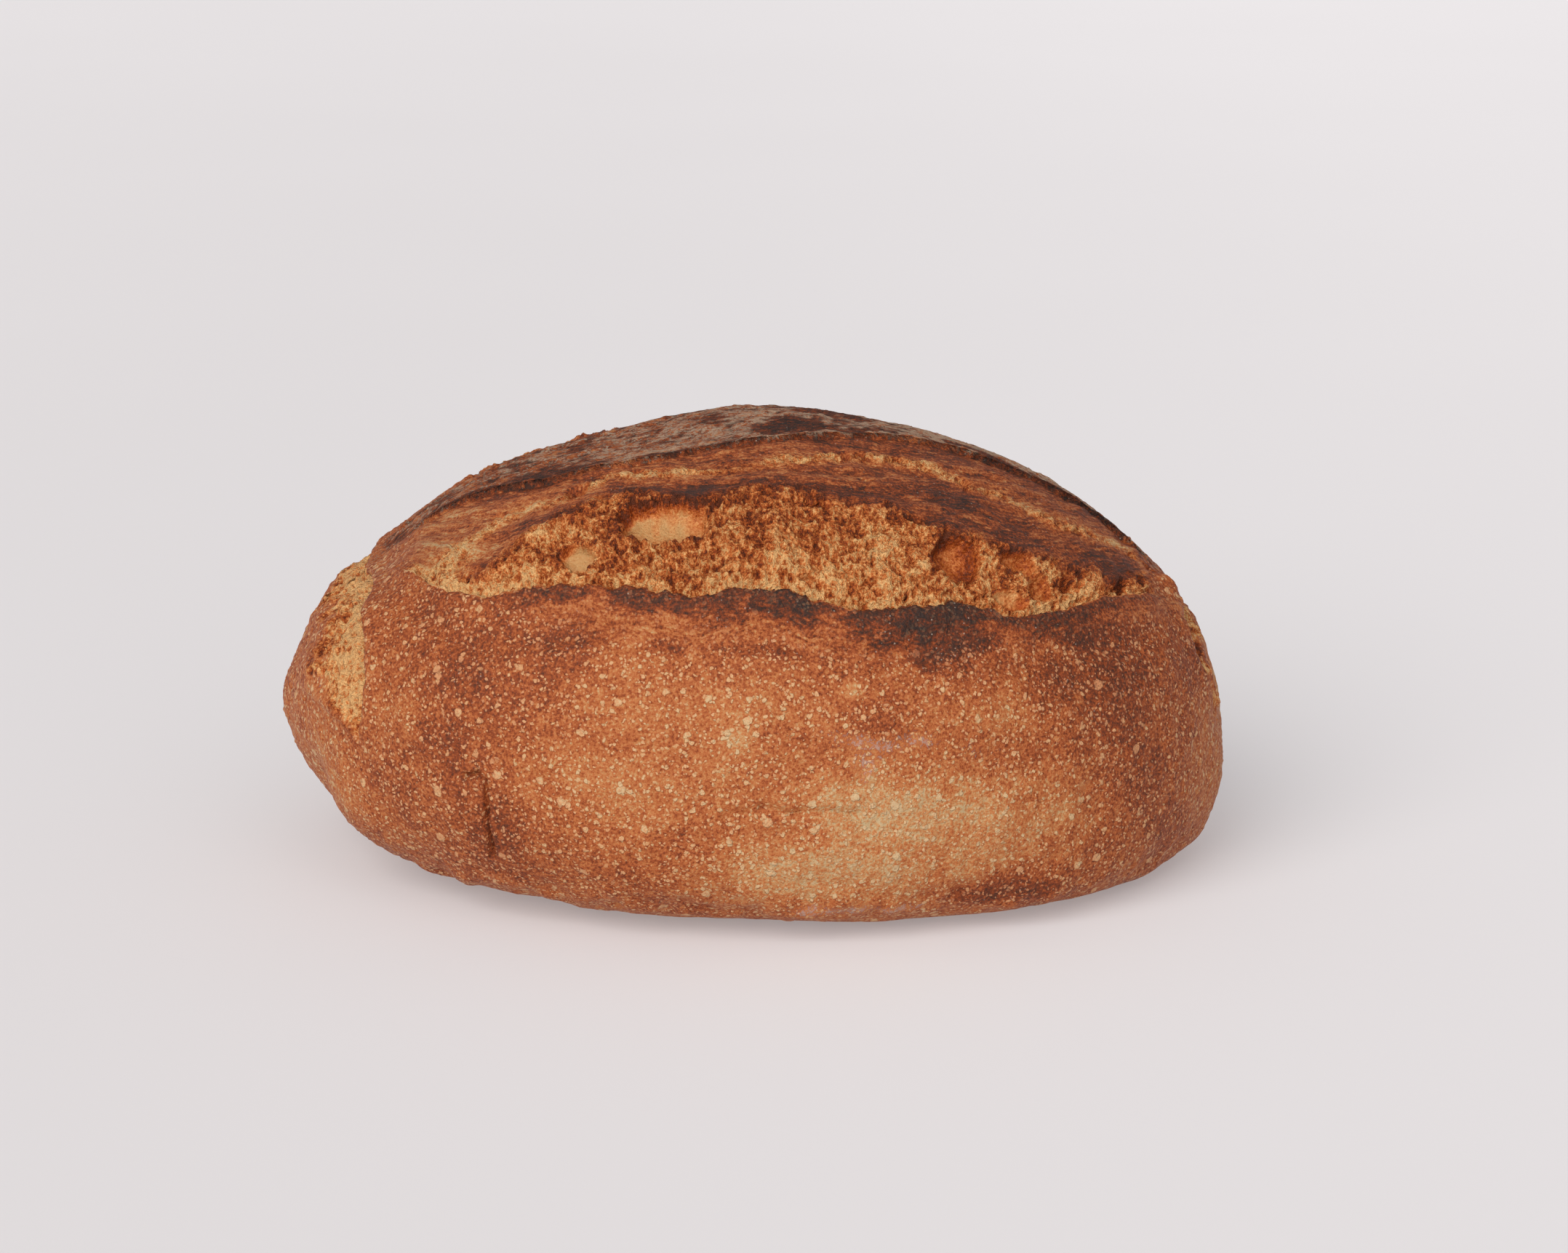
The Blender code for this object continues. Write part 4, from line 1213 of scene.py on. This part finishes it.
class Graph:
    """The node tree of one material."""

    def __init__(self, name: str) -> None:
        """Makes a material with an empty node tree."""
        self.material = bpy.data.materials.new(name)
        self.material.use_nodes = True
        self.tree = self.material.node_tree
        self.tree.nodes.clear()

    def socket(self, sockets: Any, key: Union[str, int]) -> bpy.types.NodeSocket:
        """The socket with this number, identifier or name."""
        return sockets[key] if isinstance(key, int) else next(
            socket for socket in sockets if key in (socket.identifier, socket.name))

    def node(self, kind: str, settings: dict[str, Any], inputs: dict[Union[str, int], Any],
             output: Union[str, int] = 0) -> Signal:
        """Adds one node.

        Args:
            kind: The node's type.
            settings: Properties, set first.
            inputs: Values or signals by socket name, identifier or number.
            output: Which output to return.

        Returns:
            That output.
        """
        node = self.tree.nodes.new(kind)
        for key, value in settings.items():
            setattr(node, key, value)
        for key, value in inputs.items():
            socket = self.socket(node.inputs, key)
            if isinstance(value, Signal):
                self.tree.links.new(value.socket, socket)
            else:
                socket.default_value = value
        return Signal(self, self.socket(node.outputs, output))

    def finish(self, surface: Signal) -> None:
        """Leads a shader to the material's output."""
        output = self.tree.nodes.new("ShaderNodeOutputMaterial")
        self.tree.links.new(surface.socket, output.inputs["Surface"])

    def mix(self, share: Value, low: Any, high: Any) -> Signal:
        """A colour that goes from low at share 0 to high at share 1."""
        colours = {key: value if isinstance(value, Signal) else (*value, 1.0)
                   for key, value in (("A_Color", low), ("B_Color", high))}
        return self.node("ShaderNodeMix", {"data_type": "RGBA", "clamp_factor": True},
                         {"Factor_Float": share, **colours}, "Result_Color")

    def blend(self, value: Signal, stops: tuple[tuple[float, Colour], ...]) -> Signal:
        """A colour that goes through stops.

        Args:
            value: Where to read.
            stops: Values in rising order, each with its colour.

        Returns:
            The colour at that value.
        """
        (low, colour), *rest = stops
        for high, following in rest:
            share = self.node("ShaderNodeMapRange", {}, {"Value": value, "From Min": low, "From Max": high})
            colour = self.mix(share, colour, following)
            low = high
        return colour

    def channels(self, attribute: str) -> tuple[Signal, Signal, Signal, Signal]:
        """The four masks of one layer of the mesh."""
        read = self.node("ShaderNodeAttribute", {"attribute_name": attribute}, {}, "Color")
        split = self.node("ShaderNodeSeparateColor", {}, {"Color": read})
        return split, split.beside(1), split.beside(2), read.beside("Alpha")

    def scaled(self, vector: Signal, scale: tuple[float, float, float]) -> Signal:
        """A place stretched along each axis."""
        return self.node("ShaderNodeVectorMath", {"operation": "MULTIPLY"}, {0: vector, 1: scale})

    def swirled(self, place: Signal, spot: Signal, scale: float, reach: float) -> Signal:
        """A place shifted by soft swirls that are read at the spot.

        Args:
            place: Place in mm.
            spot: Where to read the swirls.
            scale: How many swirls go into a mm.
            reach: Widest shift in mm.

        Returns:
            The shifted place.
        """
        swirl = self.node("ShaderNodeTexNoise", {}, {"Vector": spot, "Scale": scale, "Detail": 2.0}, "Color")
        return self.node("ShaderNodeVectorMath", {"operation": "ADD"},
                         {0: place, 1: self.scaled(swirl, (reach, reach, reach))})

    def grain(self, place: Signal, size: float, detail: float = 2.0, roughness: float = 0.55) -> Signal:
        """Noise from 0 to 1 whose bumps are this many mm wide."""
        return self.node("ShaderNodeTexNoise", {"noise_dimensions": "3D"},
                         {"Vector": place, "Scale": 1 / size, "Detail": detail, "Roughness": roughness})

    def web(self, place: Signal, size: float) -> Signal:
        """A measure that is 0 on the borders of scattered cells of this width in mm, and rises inside."""
        return self.node("ShaderNodeTexVoronoi", {"feature": "DISTANCE_TO_EDGE"},
                         {"Vector": place, "Scale": 1 / size})

    def dots(self, place: Signal, size: float, kept: float, radius: float, soft: float) -> Signal:
        """Scattered dots.

        Args:
            place: Place in mm.
            size: Mean distance between dots in mm, if all were kept.
            kept: Share of the dots that are kept.
            radius: Largest radius in shares of size.
            soft: Width of their edge in shares of size.

        Returns:
            1 on a dot and 0 between them.
        """
        near = self.node("ShaderNodeTexVoronoi", {"feature": "F1"}, {"Vector": place, "Scale": 1 / size})
        own = self.node("ShaderNodeSeparateColor", {}, {"Color": near.beside("Color")})
        reach = (kept - own) * (0.5 * radius / kept) + 0.5 * radius
        return (reach - near).ramp(0.0, soft) * (kept - own).ramp(0.0, 0.03)


@dataclass(frozen=True)
class BakedFinish:
    """Colours of baked dough by how dark it baked, of what lies on it and of painted glints, with their
    strengths.
    """

    stops: tuple[tuple[float, Colour], ...] = (
        (0.0, (0.475, 0.340, 0.180)),
        (0.18, (0.485, 0.246, 0.098)),
        (0.36, (0.455, 0.158, 0.048)),
        (0.54, (0.375, 0.096, 0.024)),
        (0.72, (0.235, 0.045, 0.009)),
        (0.90, (0.125, 0.027, 0.008)),
        (1.10, (0.055, 0.019, 0.010)),
        (1.35, (0.026, 0.015, 0.012)),
    )
    crumb_stops: tuple[tuple[float, Colour], ...] = (
        (0.0, (0.72, 0.400, 0.160)),
        (0.20, (0.66, 0.275, 0.088)),
        (0.40, (0.54, 0.160, 0.038)),
        (0.60, (0.385, 0.082, 0.012)),
        (0.80, (0.220, 0.036, 0.005)),
        (1.00, (0.100, 0.022, 0.006)),
    )
    flour: Colour = (0.60, 0.47, 0.39)
    dust: Colour = (0.46, 0.32, 0.215)
    speck: Colour = (0.76, 0.47, 0.26)
    bubble: Colour = (0.42, 0.235, 0.090)
    # Painted highlight colour of the small glints on dark crust.
    painted_glint: Colour = (0.70, 0.58, 0.46)
    flour_strength: float = 0.42
    dust_strength: float = 0.82
    speck_strength: float = 0.43
    bubble_strength: float = 0.7
    painted_glint_strength: float = 0.35
    roughness: float = 0.53
    specular: float = 0.22


class LoafFinish:
    """The loaf's one material: colour follows how dark each place baked, with painted shade in pockets and
    crumb hollows, finer grain and painted glints added.
    """

    LAYERS = {
        "layer_form": ("torn", "drawn", "island", "membrane"),
        "layer_heat_and_shade": ("level", "flour", "crust"),
    }

    def __init__(self, finish: BakedFinish) -> None:
        """Keeps the colours."""
        self.finish = finish

    def build(self) -> bpy.types.Material:
        """Makes the material."""
        graph = self.graph = Graph("baked_loaf")
        spot = graph.node("ShaderNodeTexCoord", {}, {}, "Object")
        self.spot = graph.scaled(spot, (1 / MM, 1 / MM, 1 / MM))
        self.place = graph.node("ShaderNodeAttribute", {"attribute_name": "place"}, {}, "Vector")
        self.torn, self.drawn, self.island, self.membrane = graph.channels("layer_form")
        self.level, self.flour, self.crust, _ = graph.channels("layer_heat_and_shade")
        self.fine = graph.grain(self.spot, 0.8, 3.0, 0.65)
        self.middling = graph.grain(self.spot, 3.2, 3.0, 0.6)
        level = self.level + (self.fine - 0.5) * 1.25
        bump = (self.fine - 0.5) * 0.6
        crumb = self.torn * (1 - self.membrane * 0.85)
        specks = self.crust_specks()
        for share, (heat, height) in ((self.crust, self.crust_grain(specks)), (crumb, self.crumb_grain()),
                                      (self.drawn, self.drawn_grain()), (self.island, self.island_grain())):
            level = level + heat * share
            bump = bump + height * share
        normal = graph.node("ShaderNodeBump", {}, {"Strength": 1.0, "Distance": MM, "Height": bump})
        roughness = (self.finish.roughness + self.island * 0.28 + self.torn * 0.12 - self.membrane * 0.3
                     + (self.fine - 0.5) * 0.3)
        graph.finish(graph.node("ShaderNodeBsdfPrincipled", {}, {
            "Base Color": self.colour(level, specks), "Roughness": roughness, "Normal": normal,
            "Specular IOR Level": self.finish.specular}))
        return graph.material

    def colour(self, level: Signal, specks: tuple[Signal, Signal, Signal]) -> Signal:
        """Colour of the baked skin with its pale grains, bare bubbles, flour and painted glints.

        Args:
            level: How dark each place baked, with the fine grain added.
            specks: Tiny, small and large pale grains of the crust.

        Returns:
            The colour.
        """
        graph, finish = self.graph, self.finish
        crust, crumb = graph.blend(level, finish.stops), graph.blend(level, finish.crumb_stops)
        colour = graph.mix(self.torn, crust, crumb)
        tiny, small, large = specks
        pale = tiny.greatest(small * 0.8).greatest(large * 0.7) * self.crust
        fading = 1 - (self.level - 0.55).ramp(0.0, 0.35) * 0.5
        colour = graph.mix(pale * fading * finish.speck_strength, colour, finish.speck)
        bare = self.membrane * (0.5 - self.level).ramp(0.0, 0.4)
        colour = graph.mix(bare * finish.bubble_strength, colour, finish.bubble)
        dusty = (self.flour * 0.9 + (self.middling - 0.5) * 2.6 + (self.fine - 0.5) * 2.6).ramp(0.2, 0.9)
        clear = 1 - (self.level - 0.82).ramp(0.0, 0.14)
        colour = graph.mix(dusty * self.island * clear * finish.dust_strength, colour, finish.dust)
        floured = (self.flour + (self.fine - 0.5) * 2.6 + (self.middling - 0.5) * 1.2).ramp(0.75, 1.3)
        colour = graph.mix(floured * (1 - self.island) * finish.flour_strength, colour, finish.flour)
        # Painted highlights: small pale glints scattered over the darker crust.
        painted_glint_dots = graph.dots(self.spot, 1.2, 0.3, 0.26, 0.12) * (self.level - 0.5).ramp(0.0, 0.3)
        return graph.mix(painted_glint_dots * (1 - self.torn) * finish.painted_glint_strength, colour, finish.painted_glint)

    def crust_specks(self) -> tuple[Signal, Signal, Signal]:
        """Tiny, small and large pale grains of the crust, crowded in some places and sparse in others."""
        graph = self.graph
        warped = graph.swirled(self.spot, self.spot, 0.6, 1.7)
        crowd = self.middling.ramp(0.3, 0.62) * 0.7 + 0.3
        return (graph.dots(warped, 1.2, 0.9, 0.50, 0.14) * crowd, graph.dots(warped, 2.3, 0.6, 0.36, 0.08),
                graph.dots(warped, 5.4, 0.35, 0.30, 0.06))

    def crust_grain(self, specks: tuple[Signal, Signal, Signal]) -> tuple[Signal, Signal]:
        """Change of level and height in mm of blistered crust: pale grains in a browner net."""
        tiny, small, large = specks
        gloom = (self.level - 0.5).ramp(0.1, 0.5)
        light = (0.3 - self.level).ramp(0.0, 0.3)
        heat = (tiny * 0.34).greatest(small * 0.36).greatest(large * 0.32)
        heat = heat * (1 - gloom * 0.2) * (1 - light * 0.6)
        return (self.middling - 0.5) * 0.4 - heat + 0.07, tiny * 0.16 + small * 0.24 + large * 0.25

    def crumb_grain(self) -> tuple[Signal, Signal]:
        """Change of level and height in mm of torn crumb: fine strands and a web of cell walls, whose hollows
        are darker and walls paler, partly painted shade and partly the crumb's own membranes.
        """
        graph = self.graph
        spun = graph.swirled(graph.scaled(self.place, (1.0, 0.6, 1.0)), self.spot, 0.7, 1.8)
        strands = graph.grain(graph.scaled(self.place, (1.0, 0.5, 1.0)), 0.9, 3.0, 0.7)
        wide = graph.web(spun, 2.1)
        narrow = graph.web(spun, 1.1)
        walls = wide.ramp(0.13, 0.0).greatest(narrow.ramp(0.16, 0.0) * 0.7)
        hollows = wide.ramp(0.12, 0.4)
        # Painted shade: the web's hollows darken and its walls lighten, partly the crumb's own darker
        # membranes.
        heat = hollows * 0.22 - walls * 0.30 + (strands - 0.5) * 1.3 + (self.middling - 0.5) * 0.8 + 0.04
        return heat, walls * 0.4 - hollows * 0.5 + (strands - 0.5) * 0.7

    def drawn_grain(self) -> tuple[Signal, Signal]:
        """Change of level and height in mm of skin drawn out lengthwise."""
        graph = self.graph
        streaks = graph.grain(graph.scaled(self.place, (0.22, 1.0, 1.0)), 1.1, 4.0, 0.7)
        flecks = graph.dots(graph.scaled(self.place, (0.5, 1.0, 1.0)), 1.6, 0.7, 0.42, 0.12)
        return (streaks - 0.5) * 1.5 + (self.middling - 0.5) * 0.4 - flecks * 0.2, (streaks - 0.5) * 0.8

    def island_grain(self) -> tuple[Signal, Signal]:
        """Change of level and height in mm of the rough floured top."""
        rough = self.graph.grain(self.spot, 2.2, 4.0, 0.75)
        return (rough - 0.5) * 2.0, (rough - 0.5) * 1.4


@dataclass(frozen=True)
class Lamp:
    """A far lamp: its name, strength, width in degrees and the direction that it shines from."""

    name: str
    strength: float
    spread: float
    place: tuple[float, float, float]


@dataclass
class Studio:
    """A plain pale floor, soft light from the front left and the camera at the photograph's viewing angle."""

    floor_colour: Colour = (0.52, 0.50, 0.505)
    floor_painted_light: Colour = (0.64, 0.62, 0.63)
    floor_glow: Colour = (0.255, 0.245, 0.247)
    floor_half: float = 12.0
    floor_height: float = -0.0002
    floor_haze: float = 0.35
    lamp_colour: Colour = (1.0, 0.985, 0.965)
    world_colour: Colour = (0.98, 0.98, 1.0)
    aim: tuple[float, float, float] = (0.00885, 0.00049, 0.06211)
    elevation: float = 15.0
    distance: float = 1.0369
    lens: float = 85.0
    sensor: float = 36.0
    farthest: float = 100.0
    world_strength: float = 0.40
    lamps: tuple[Lamp, ...] = (
        Lamp("key", 2.00, 46.0, (-0.46, -0.72, 0.56)),
        Lamp("fill", 0.30, 70.0, (0.55, -0.75, 0.34)),
        Lamp("front", 1.05, 90.0, (-0.05, -1.0, 0.50)),
    )

    def floor(self) -> bpy.types.Object:
        """The floor, a hair below the loaf's base. It glows evenly, and painted light makes it brighter at
        the back and the right, under a faint haze of tone.
        """
        mesh = bpy.data.meshes.new("floor")
        corners = [(self.floor_half * x, self.floor_half * y, self.floor_height)
                   for x, y in ((-1, -1), (1, -1), (1, 1), (-1, 1))]
        mesh.from_pydata(corners, [], [(0, 1, 2, 3)])
        graph = Graph("paper")
        place = graph.node("ShaderNodeTexCoord", {}, {}, "Object")
        across = graph.node("ShaderNodeSeparateXYZ", {}, {"Vector": place})
        back = across.beside(1)
        haze = graph.grain(place, self.floor_haze, 1.0)
        # Painted light: the floor's colour brightens towards the right and the back, with a faint haze of
        # tone over it.
        light = across.ramp(-0.25, 0.55) * 0.5 + back.ramp(0.3, 3.0) * 0.5 + (haze - 0.5) * 0.15
        surface = graph.node("ShaderNodeBsdfPrincipled", {}, {
            "Base Color": graph.mix(light, self.floor_colour, self.floor_painted_light), "Roughness": 0.9,
            "Specular IOR Level": 0.2, "Emission Color": (*self.floor_glow, 1.0), "Emission Strength": 1.0})
        graph.finish(surface)
        mesh.materials.append(graph.material)
        floor = bpy.data.objects.new("floor", mesh)
        bpy.context.scene.collection.objects.link(floor)
        return floor

    def camera(self) -> bpy.types.Object:
        """The camera, looking down at the loaf."""
        angle = math.radians(self.elevation)
        back = Vector((0, -math.cos(angle), math.sin(angle)))
        data = bpy.data.cameras.new("camera")
        data.lens = self.lens
        data.sensor_width = self.sensor
        data.sensor_fit = "HORIZONTAL"
        data.clip_end = self.farthest
        camera = bpy.data.objects.new("camera", data)
        camera.location = Vector(self.aim) + back * self.distance
        camera.rotation_euler = (-back).to_track_quat("-Z", "Y").to_euler()
        bpy.context.scene.collection.objects.link(camera)
        bpy.context.scene.camera = camera
        return camera

    def lights(self) -> None:
        """Broad far lamps to the front and a bright even surrounding."""
        for lamp in self.lamps:
            light = bpy.data.lights.new(lamp.name, "SUN")
            light.energy = lamp.strength
            light.angle = math.radians(lamp.spread)
            light.color = self.lamp_colour
            holder = bpy.data.objects.new(lamp.name, light)
            holder.location = lamp.place
            holder.rotation_euler = Vector(lamp.place).to_track_quat("Z", "Y").to_euler()
            bpy.context.scene.collection.objects.link(holder)
        world = bpy.data.worlds.new("studio")
        world.use_nodes = True
        background = world.node_tree.nodes["Background"]
        background.inputs["Color"].default_value = (*self.world_colour, 1.0)
        background.inputs["Strength"].default_value = self.world_strength
        bpy.context.scene.world = world
        bpy.context.scene.view_settings.view_transform = "Standard"


def main() -> None:
    """Builds the loaf, the studio and the camera in order."""
    logging.basicConfig(level=logging.INFO, format="%(message)s")
    studio = Studio()
    studio.camera()
    studio.lights()
    studio.floor()
    skin = LoafSkin(DoughForm(), Scoring(), Rows())
    skin.bake()
    LOG.info("skin: %d stations, %d rows", *skin.x.shape)
    material = LoafFinish(BakedFinish()).build()
    for sector in Sector:
        piece = SectorPiece(sector, skin).build(material)
        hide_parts("loaf")
        LOG.info("%s: %d faces", piece.name, len(piece.data.polygons))


if __name__ == "__main__":
    main()
